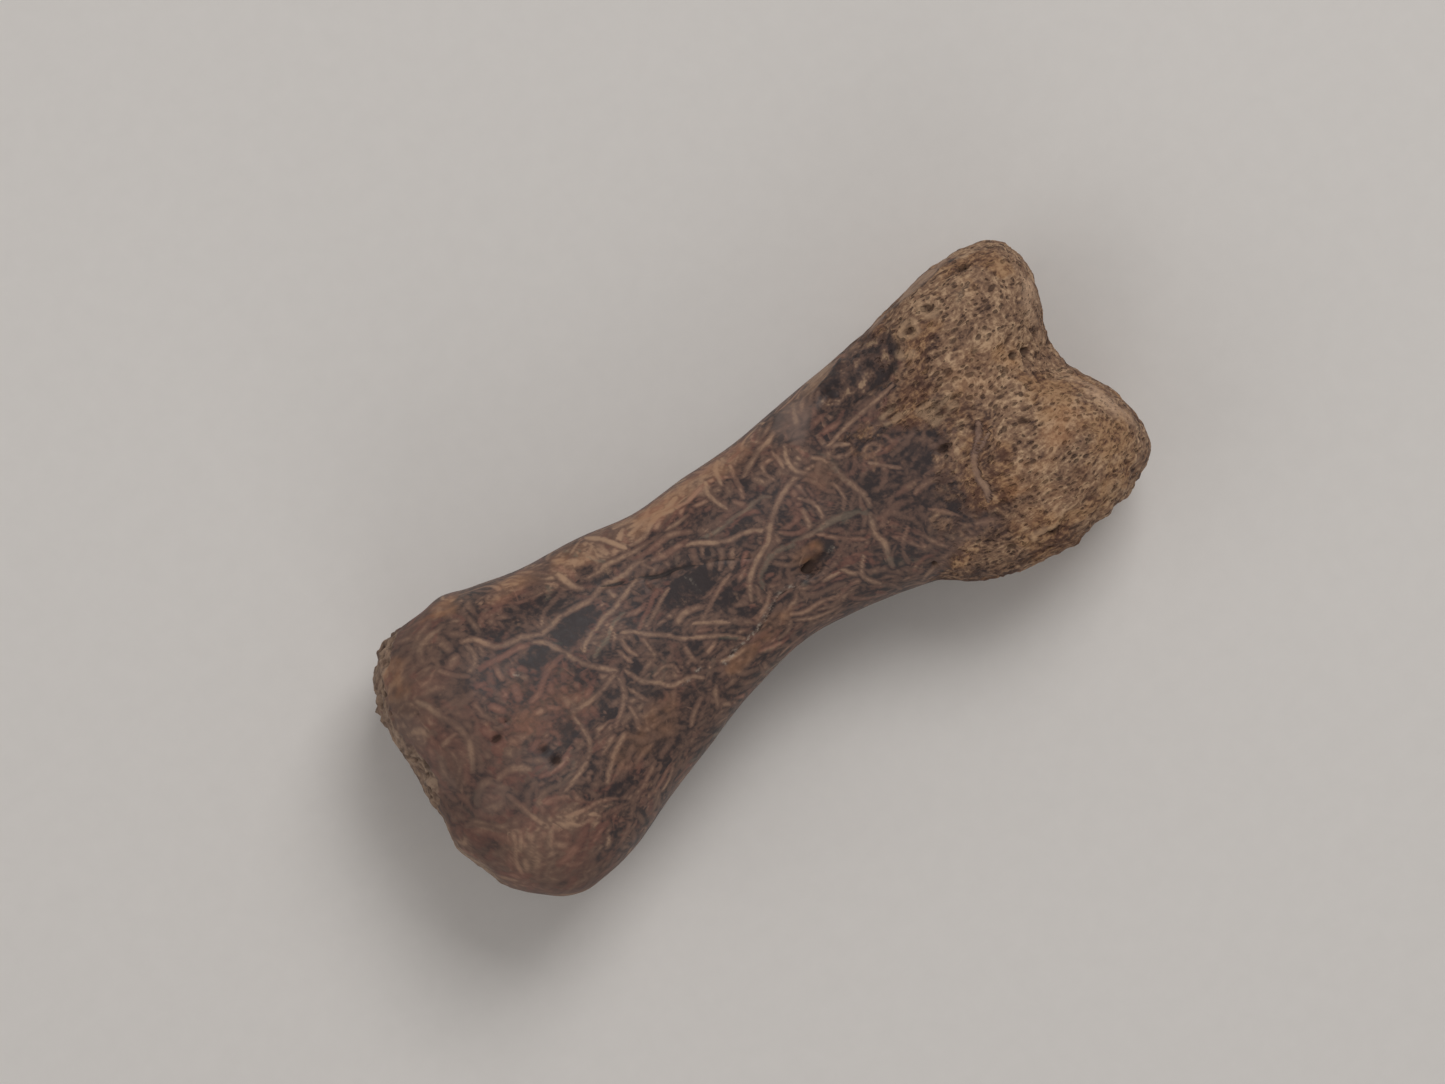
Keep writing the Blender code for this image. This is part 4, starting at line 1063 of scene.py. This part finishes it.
bone_mesh = closed_grid_mesh("toe_bone_surface", surface, pole_points)
on_pale_line = smoothstep(1.4, 0.4, line_reach) * (line_light == LIGHT_OF_TONE[PALE])
marks = dict(
    line_reach=line_reach,
    line_tone=line_tone,
    line_light=line_light,
    crack=crack,
    chalk=chalk,
    ridge=ridge_line,
    dark=np.maximum(dark, 0.6 * pebbly),
    warm=warm,
    # Paler bone and painted edge light
    pale_and_painted_edge_light=pale_and_painted_edge_light,
    # Painted sheen
    painted_sheen=painted_sheen,
    past_rim=past_rim,
    spongy=spongy * (1 - 0.85 * on_pale_line),
    lobes=lobes,
    # The depth of pores, pits and holes, which the material paints as the shade that falls into them
    pit=np.clip((pores + 1.2 * holes) / 0.16, 0, 1),
    hole=np.clip(holes / 0.4, 0, 1) * (1 - 0.7 * spongy),
    socket_worn=np.maximum(socket_face, socket_strip),
    side_band=side_band,
    rim_band=rim_band,
    chip=chip_mask,
)
for name, values in marks.items():
    store(bone_mesh, name, values)
bone = new_object("toe_bone_surface", bone_mesh)
print("triangles:", 2 * surface.shape[0] * POINTS_AROUND, "marks:", ", ".join(marks))

# %% [markdown]
# ## The finish
# A material is a tree of nodes. It is easier to read when sums look like sums, so a node's output is
# wrapped in a small class: each plus or times sign between two of them adds one node.


# %% Helpers that write node trees
class Value:
    """A node's output. Each sign between it and another value, number or tuple adds one node."""

    def __init__(self, tree, socket):
        self.tree = tree
        self.socket = socket

    def math(self, operation, *others):
        """A Math node, or a Vector Math node where this value is a vector or a colour."""
        is_vector = self.socket.type in ("VECTOR", "RGBA")
        kind = "ShaderNodeVectorMath" if is_vector else "ShaderNodeMath"
        outputs = self.tree.add(kind, self, *others, operation=operation)
        return outputs["Vector" if is_vector and operation != "DOT_PRODUCT" else "Value"]

    def __add__(self, other):
        return self.math("ADD", other)

    def __sub__(self, other):
        return self.math("SUBTRACT", other)

    def __mul__(self, other):
        return self.math("MULTIPLY", other)

    def __truediv__(self, other):
        return self.math("DIVIDE", other)

    def at_least(self, other):
        return self.math("MAXIMUM", other)


class Tree:
    """Adds nodes to a node tree."""

    def __init__(self, tree):
        self.tree = tree

    def feed(self, socket, value):
        """Links a value to an input, or writes a number, vector or colour into it."""
        if isinstance(value, Value):
            self.tree.links.new(value.socket, socket)
        elif socket.type == "VECTOR" and isinstance(value, float):
            socket.default_value = (value, value, value)
        else:
            socket.default_value = value

    def add(self, kind, *values, **settings):
        """Adds a node, feeds its first inputs in turn, and hands back its outputs by name."""
        node = self.tree.nodes.new(kind)
        for name, value in settings.items():
            setattr(node, name, value)
        for socket, value in zip(node.inputs, values):
            self.feed(socket, value)
        return {socket.identifier: Value(self, socket) for socket in node.outputs}

    def step(self, low, high, value, start=0.0, end=1.0):
        """A smooth S from start, at low, to end, at high."""
        given = (value, low, high, start, end)
        return self.add("ShaderNodeMapRange", *given, interpolation_type="SMOOTHSTEP")["Result"]

    def blend(self, amount, a, b):
        """Colour a where amount is 0, colour b where it is 1. The first inputs mix other kinds."""
        node = self.tree.nodes.new("ShaderNodeMix")
        node.data_type = "RGBA"
        for index, value in ((0, amount), (6, a), (7, b)):
            self.feed(node.inputs[index], value)
        return Value(self, node.outputs[2])

    def noise(self, place, scale, detail=2.0, roughness=0.5, offset=0.0, output="Fac"):
        """Cloudy noise, scale to the metre. An offset takes it from another place."""
        shifted = place + (offset, 1.7 * offset, -offset) if offset else place
        return self.add("ShaderNodeTexNoise", shifted, 0.0, scale, detail, roughness)[output]

    def cells(self, place, scale):
        """Voronoi cells, scale to the metre, and each cell's own random numbers."""
        found = self.add("ShaderNodeTexVoronoi", place, 0.0, scale)
        return found, self.add("ShaderNodeSeparateColor", found["Color"])

    def attribute(self, name):
        return self.add("ShaderNodeAttribute", attribute_name=name)["Fac"]


def new_material(name):
    """An empty material: itself, its tree, its shader's inputs and the place on the object."""
    material = bpy.data.materials.new(name)
    material.use_nodes = True
    t = Tree(material.node_tree)
    place = t.add("ShaderNodeTexCoord")["Object"]
    return material, t, material.node_tree.nodes["Principled BSDF"].inputs, place


def colour(red, green, blue):
    """A colour as the eye reads it on a screen, 0 to 255, made linear for the nodes."""
    share = np.array((red, green, blue)) / 255
    return (*np.where(share <= 0.04045, share / 12.92, ((share + 0.055) / 1.055) ** 2.4), 1.0)


def centred(value, amount):
    """A texture's value less 0.5, times an amount: a change up and down about nothing."""
    return (value - 0.5) * amount


def warped(t, place, scale, detail, amount):
    """The place pushed about by a noise, by up to half the amount in millimetres."""
    return place + centred(t.noise(place, scale, detail, output="Color"), amount * MM)


# %% Colours of the bone
NEAR_BLACK, COOL_DARK = colour(56, 47, 47), colour(60, 57, 53)
MID_BROWN, MID_RED, MID_COOL = colour(109, 84, 73), colour(114, 79, 69), colour(102, 88, 77)
PALE_TAN, PALE_RED, PALE_COOL = colour(176, 142, 116), colour(164, 123, 103), colour(150, 130, 110)
SPONGY_DARK, SPONGY_TAN, SPONGY_PALE = colour(80, 59, 51), colour(138, 107, 85), colour(194, 160, 128)
BAND_SHADE, BAND_TAN = colour(138, 108, 87), colour(188, 152, 124)
# The rim's pale tan is its own colour, made lighter to make up for the shade on its sideways slope: partly
# painted light
RIM_SHADE, RIM_TAN_AND_PAINTED_LIGHT = colour(124, 94, 76), colour(212, 176, 146)
RUST_DARK, RUST_LIGHT = colour(98, 64, 47), colour(164, 122, 84)
WORN_DARK, WORN_GREY = colour(98, 79, 66), colour(170, 143, 121)
# The middle colour here is the grey of a painted sheen
CHALK, PAINTED_SHEEN_GREY, ORANGE = colour(176, 162, 146), colour(138, 118, 109), colour(172, 120, 80)
# Painted shade for pores, pits and holes; the second colour is also the black of the cracks
PORE_SHADE_BROWN, CRACK_AND_HOLE_SHADE_BLACK = colour(64, 46, 39), colour(42, 34, 32)

# %% [markdown]
# ### Strokes under the strokes
# The strokes drawn on the mesh are the top of the felt. Below them, and finer than the mesh's points,
# lie more, blurred and low in contrast. No texture node draws strokes, but Voronoi cells can carry
# them. Each cell gets one direction that lies in the surface, from its own random colour and from a
# slow flow that its neighbours share. The distance across that direction, over the stroke's half
# width, gives the stroke, and the cell's last random number its brightness.

# %% Layers of blurred strokes: cells per metre, half width and half length in millimetres
STROKE_LAYERS = ((620, 0.16, 0.8), (560, 0.15, 0.9), (600, 0.14, 0.8))
OWN_WAY, SHARED_WAY = 0.55, 3.0
STROKE_BEND = 700.0


def stroke_layer(t, place, normal, cells_per_metre, half_width, half_length):
    """How bright one layer of strokes is at each spot."""
    cells, own = t.cells(place, cells_per_metre)
    from_site = place - cells["Position"]
    flow = centred(t.noise(place, 160, 1.0, output="Color"), SHARED_WAY)
    way = centred(cells["Color"], OWN_WAY) + flow
    lengthwise = normal.math("CROSS_PRODUCT", way).math("NORMALIZE")
    run = from_site.math("DOT_PRODUCT", lengthwise)
    side = from_site.math("DOT_PRODUCT", normal.math("CROSS_PRODUCT", lengthwise))
    side = run * run * centred(own["Red"], STROKE_BEND) + side
    taper = (run.math("ABSOLUTE") / half_length).math("POWER", 4.0)
    across = side.math("ABSOLUTE") / half_width + taper
    return t.step(1.9, 0.1, across) * (own["Blue"] * 0.7 + 0.3)


def blurred_strokes(t, place, normal):
    """The brightest of all layers of blurred strokes, 0 to 1."""
    bent = warped(t, place, 350, 1.0, 1.1)
    glow = 0.0
    for number, (cells, half_width, half_length) in enumerate(STROKE_LAYERS):
        moved = bent + (0.37 * number + 0.1, 0.2 * number, 0.11 * number)
        glow = stroke_layer(t, moved, normal, cells, half_width * MM, half_length * MM).at_least(glow)
    return glow


# %% [markdown]
# ### The skin of the shaft
# Strokes and noise add up to one brightness, and it picks the colour. A stroke is brightest along its
# middle and fades to both sides, and the colour goes with it from near black through brown to tan. So
# every edge is soft, as it is on the real bone.


# %% Colour of the felt
def felt_colour(t, place, normal, dark, fine, mottle):
    """The shaft's skin: drawn and blurred strokes, haze over the lobes, painted edge light and painted
    sheen.
    """
    ragged = centred(t.noise(place, 2200, offset=6.0), 0.55)
    reach = t.attribute("line_reach") + centred(fine, 0.5) + ragged
    patchy = centred(t.noise(place, 700, offset=7.0), 0.65)
    drawn = t.step(1.55, 0.1, reach) * (t.attribute("line_light") + 0.04 + patchy)
    below = blurred_strokes(t, place, normal) * 0.44 + 0.16
    glow = drawn.at_least(below * (dark * -0.85 + 1.0))
    glow = glow + centred(mottle, 0.50) + centred(fine, 0.7) + t.attribute("warm") * 0.18
    clouds = centred(t.noise(place, 560, 3.0, 0.65, offset=8.0), 2.2) + 0.58
    glow = (clouds - glow) * (t.attribute("lobes") * 0.40) + glow
    # Paler bone, and painted light on the upper and lower edges
    glow = glow + t.attribute("pale_and_painted_edge_light") * 0.34
    tone = t.attribute("line_tone") + centred(t.noise(place, 450, offset=5.0), 1.8)
    tone = tone + t.attribute("lobes") * -0.12
    cool, ruddy = t.step(0.2, 1.1, tone), t.step(0.0, -1.1, tone)
    ground = t.blend(cool, NEAR_BLACK, COOL_DARK)
    middle = t.blend(ruddy, t.blend(cool, MID_BROWN, MID_COOL), MID_RED)
    top = t.blend(ruddy, t.blend(cool, PALE_TAN, PALE_COOL), PALE_RED)
    skin = t.blend(t.step(0.05, 0.55, glow), ground, middle)
    skin = t.blend(t.step(0.45, 1.2, glow), skin, top)
    # A painted sheen: a grey veil laid over the skin where light shines off it
    return t.blend(t.attribute("painted_sheen") * 0.7, skin, PAINTED_SHEEN_GREY)


# %% [markdown]
# ### Spongy and broken bone
# Spongy bone is tan, with a grain of thin fibres that runs along the bone, and it is full of pores a
# tenth of a millimetre wide, too fine for the mesh. Voronoi cells give the distance to the nearest of
# many random points: where that is small, there is a pore. Each cell's own random number sets its
# pore's size, and many cells have none. Squeezing x makes the pores long, as they run with the grain.


# %% Colour and height of spongy bone
def fine_pores(t, place, cells_per_metre, size):
    """1 in the fine pores of one layer, 0 between them."""
    cells, own = t.cells(place * (0.5, 1.0, 1.0), cells_per_metre)
    return t.step(1.0, 0.45, cells["Distance"] / (own["Red"] * size))


def spongy_bone(t, place, dark, rising):
    """Its tone adds up long thin fibres, fine crumbs and two sizes of blotches."""
    bent = warped(t, place, 500, 2.0, 0.75)
    fibres = t.noise(bent * (0.30, 1.0, 1.0), 5200, 2.0, 0.6)
    crumbs = t.noise(bent, 4200, 2.0, 0.65, offset=1.0)
    blotches = t.noise(place, 420, 3.0, 0.6, offset=2.0) + t.noise(place, 1100, offset=3.0)
    tone = fibres * 0.34 + crumbs * 0.36 + blotches * 0.23 + dark * -0.07 + rising
    tan = t.blend(t.step(0.44, 0.57, tone), SPONGY_DARK, SPONGY_TAN)
    tan = t.blend(t.step(0.55, 0.70, tone), tan, SPONGY_PALE)
    openings = fine_pores(t, bent, 3000, 0.46).at_least(fine_pores(t, place, 1600, 0.28))
    openings = openings.at_least(fine_pores(t, bent, 4600, 0.5))
    # Painted shade in the fine pores
    tan = t.blend(openings * 0.7, tan, PORE_SHADE_BROWN)
    rusty = t.step(0.50, 0.62, t.noise(place, 380, 3.0, 0.6, offset=9.0), 0.0, 0.55)
    tan = t.blend(rusty, tan, t.blend(t.step(0.5, 0.62, tone), RUST_DARK, RUST_LIGHT))
    return tan, tone * 2.0 - openings


def chipped_bone(t, place):
    """Dark broken bone, with paler crumbs left standing in it: its colour and its height."""
    crumbs = t.noise(place, 1150, 3.0, 0.65, offset=4.0)
    broken = t.blend(t.step(0.42, 0.60, crumbs), NEAR_BLACK, MID_BROWN)
    return t.blend(t.step(0.56, 0.68, crumbs, 0.0, 0.65), broken, SPONGY_PALE), crumbs


# %% [markdown]
# ### The bone's material
# The colour is laid on from below: the skin of the shaft, spongy bone, the warm patches, the smooth
# band along the crest, the layered rim, whose tan is partly painted light, the worn socket, the chip,
# and last the painted shade in the pits and holes, the chalk and the cracks. Each layer has the mask
# from the mesh, frayed by two noises. Roughness and a fine bump follow the same masks, so the smooth
# shaft has a soft shine and the spongy knuckle has none.


# %% The bone's material
def bone_material():
    material, t, shader, place = new_material("fossil_bone")
    normal = t.add("ShaderNodeNewGeometry")["Normal"]
    dark, spongy_now, pit_shade_now = t.attribute("dark"), t.attribute("spongy"), t.attribute("pit")
    fine = t.noise(place, 4200, 2.0, 0.6)
    mottle = t.noise(place, 800, 3.0)

    def frayed(name, by_mottle, by_fine):
        return t.attribute(name) + centred(mottle, by_mottle) + centred(fine, by_fine)

    skin = felt_colour(t, place, normal, dark, fine, mottle)
    along_x = t.add("ShaderNodeSeparateXYZ", place)["X"]
    rising = t.step(9.0 * MM, 16.0 * MM, along_x, -0.06, 0.005) + t.attribute("pale_and_painted_edge_light") * 0.03
    sponge, height = spongy_bone(t, place, dark, rising)
    skin = t.blend(t.step(0.2, 0.8, frayed("spongy", 1.4, 0.7)), skin, sponge)
    skin = t.blend(t.attribute("warm") * t.step(0.35, 0.65, mottle, 0.15, 0.55), skin, ORANGE)

    grain = t.noise(place * (0.22, 1.0, 1.0), 4300, 3.0, 0.6) + centred(mottle, 0.8)
    smooth_tan = t.blend(t.step(0.30, 0.66, grain), BAND_SHADE, BAND_TAN)
    banded = t.step(0.2, 1.0, frayed("side_band", 1.5, 0.8), 0.0, 0.8)
    skin = t.blend(banded, skin, t.blend(0.35, smooth_tan, sponge))

    from_rim = t.add("ShaderNodeCombineXYZ", t.attribute("past_rim") * MM)["Vector"]
    stripes = t.noise(place * (0.0, 0.22, 0.22) + from_rim, 3400, 2.0, 0.6)
    # The rim's layers: its own streaks, on a tan partly lightened as painted light
    layers = t.blend(t.step(0.36, 0.56, stripes), RIM_SHADE, RIM_TAN_AND_PAINTED_LIGHT)
    rimmed = t.attribute("rim_band") * t.step(0.3, 0.6, mottle, 0.45, 0.85)
    skin = t.blend(rimmed, skin, t.blend(0.3, layers, sponge))

    patches = t.noise(place, 1900, 3.0, 0.65, offset=10.0)
    worn_tan = t.blend(t.step(0.32, 0.64, patches), WORN_DARK, WORN_GREY)
    skin = t.blend(t.step(0.25, 1.1, frayed("socket_worn", 1.6, 0.8), 0.0, 0.85), skin, worn_tan)

    broken, crumbs = chipped_bone(t, place)
    for amount, colour_there in (
        (t.attribute("chip") * 0.9, broken),
        # Painted shade in the pits and holes, darker where they are deeper
        (t.step(0.2, 0.95, pit_shade_now, 0.0, 0.65), PORE_SHADE_BROWN),
        (t.attribute("ridge") * 0.45, SPONGY_PALE),
        (t.attribute("hole") * 0.8, CRACK_AND_HOLE_SHADE_BLACK),
        (t.attribute("chalk") * t.step(0.45, 0.65, fine, 0.05, 0.6), CHALK),
        (t.step(0.085, 0.012, t.attribute("crack"), 0.0, 0.88), CRACK_AND_HOLE_SHADE_BLACK),
    ):
        skin = t.blend(amount, skin, colour_there)
    t.feed(shader["Base Color"], skin)

    dull = t.step(0.0, 1.0, spongy_now, 0.52, 0.78)
    dull = dull.at_least(t.step(0.0, 1.0, t.attribute("lobes"), 0.52, 0.68)) + centred(fine, 0.2)
    t.feed(shader["Roughness"], dull.at_least(t.step(0.1, 0.8, pit_shade_now, 0.0, 0.85)))
    shader["Specular IOR Level"].default_value = 0.3

    relief_now = height * t.step(0.1, 0.7, spongy_now) + crumbs * t.attribute("chip") + fine * 0.15
    bump = material.node_tree.nodes.new("ShaderNodeBump")
    for name, value in (("Strength", 0.8), ("Distance", 0.12 * MM), ("Height", relief_now)):
        t.feed(bump.inputs[name], value)
    t.feed(shader["Normal"], Value(t, bump.outputs["Normal"]))
    return material


bone.data.materials.append(bone_material())
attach(bone, "root")
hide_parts("toe_bone")
print("material nodes:", len(bone.data.materials[0].node_tree.nodes))

# %% [markdown]
# ## The stage
# The bone lies on a plain, pale, slightly warm floor. The photograph looks at its broad face, which
# lies up here, so the camera looks straight down. It is turned so that the bone rises to the right as
# it does there, and it stands far off with a long lens, so that the bone isn't distorted.


# %% The floor
def floor_material():
    material, t, shader, place = new_material("pale_floor")
    cloud = t.noise(place, 900, 4.0, 0.6)
    t.feed(shader["Base Color"], t.blend(cloud, colour(222, 217, 212), colour(228, 223, 218)))
    shader["Roughness"].default_value = 0.9
    return material


FLOOR_HALF = 400 * MM
floor_mesh = bpy.data.meshes.new("floor")
corners = [(sx * FLOOR_HALF, sy * FLOOR_HALF, 0.0) for sx, sy in ((-1, -1), (1, -1), (1, 1), (-1, 1))]
floor_mesh.from_pydata(corners, [], [(0, 1, 2, 3)])
floor = new_object("floor", floor_mesh)
floor.data.materials.append(floor_material())

# %% The camera, from the photograph's own measure
IMAGE_WIDTH, IMAGE_HEIGHT = 1445, 1084
BONE_RISES = math.radians(35.0)
BONE_MIDDLE_PIXEL = (756.9, 574.2)
MM_PER_PIXEL = 0.04707
OUTLINE_LEVEL = 5.5 * MM
CAMERA_HEIGHT = 300 * MM

image_right = Vector((math.cos(BONE_RISES), -math.sin(BONE_RISES), 0))
image_up = Vector((math.sin(BONE_RISES), math.cos(BONE_RISES), 0))
off_right = (IMAGE_WIDTH / 2 - BONE_MIDDLE_PIXEL[0]) * MM_PER_PIXEL * MM
off_up = (BONE_MIDDLE_PIXEL[1] - IMAGE_HEIGHT / 2) * MM_PER_PIXEL * MM
aim = image_right * off_right + image_up * off_up
camera = new_object("camera", bpy.data.cameras.new("camera"))
camera.matrix_world = Matrix.Translation(aim + Vector((0, 0, OUTLINE_LEVEL + CAMERA_HEIGHT))) @ Matrix(
    (image_right, image_up, Vector((0, 0, 1)))
).transposed().to_4x4()
camera.data.lens = camera.data.sensor_width * CAMERA_HEIGHT / (IMAGE_WIDTH * MM_PER_PIXEL * MM)
camera.data.clip_start = 0.01
bpy.context.scene.camera = camera
print("lens:", round(camera.data.lens, 1), "mm, aimed at", [round(v / MM, 2) for v in aim])

# %% [markdown]
# ### The light
# The light is soft and comes from the far side, the top of the picture, so the upper edge of the shaft
# shines a little and the lower edge turns dark. A wide, weak light and a grey world fill the shadows.


# %% Lights and world: how far right and up in the picture, height and size in metres, watts
LIGHTS = {
    "key": (0.10, 0.24, 0.38, 0.22, 0.86),
    "fill": (-0.38, -0.12, 0.34, 0.4, 0.34),
    "low": (0.08, -0.40, 0.22, 0.3, 0.24),
}
AIM_OF_LIGHTS = Vector((0, 0, 0.005))
WORLD_COLOUR, WORLD_STRENGTH = (0.80, 0.79, 0.78, 1.0), 0.32


def area_light(name, place, size, watts):
    """A square area light at a place, turned towards the bone."""
    light = new_object(name, bpy.data.lights.new(name, "AREA"))
    light.data.size = size
    light.data.energy = watts
    light.location = place
    light.rotation_euler = (AIM_OF_LIGHTS - place).to_track_quat("-Z", "Y").to_euler()


for name, (right, up, height, size, watts) in LIGHTS.items():
    area_light(name, image_up * up + image_right * right + Vector((0, 0, height)), size, watts)
world = bpy.data.worlds.new("soft_grey")
world.use_nodes = True
background = world.node_tree.nodes["Background"].inputs
background["Color"].default_value = WORLD_COLOUR
background["Strength"].default_value = WORLD_STRENGTH
bpy.context.scene.world = world
bpy.context.scene.view_settings.view_transform = "Standard"
print("lights:", ", ".join(LIGHTS))
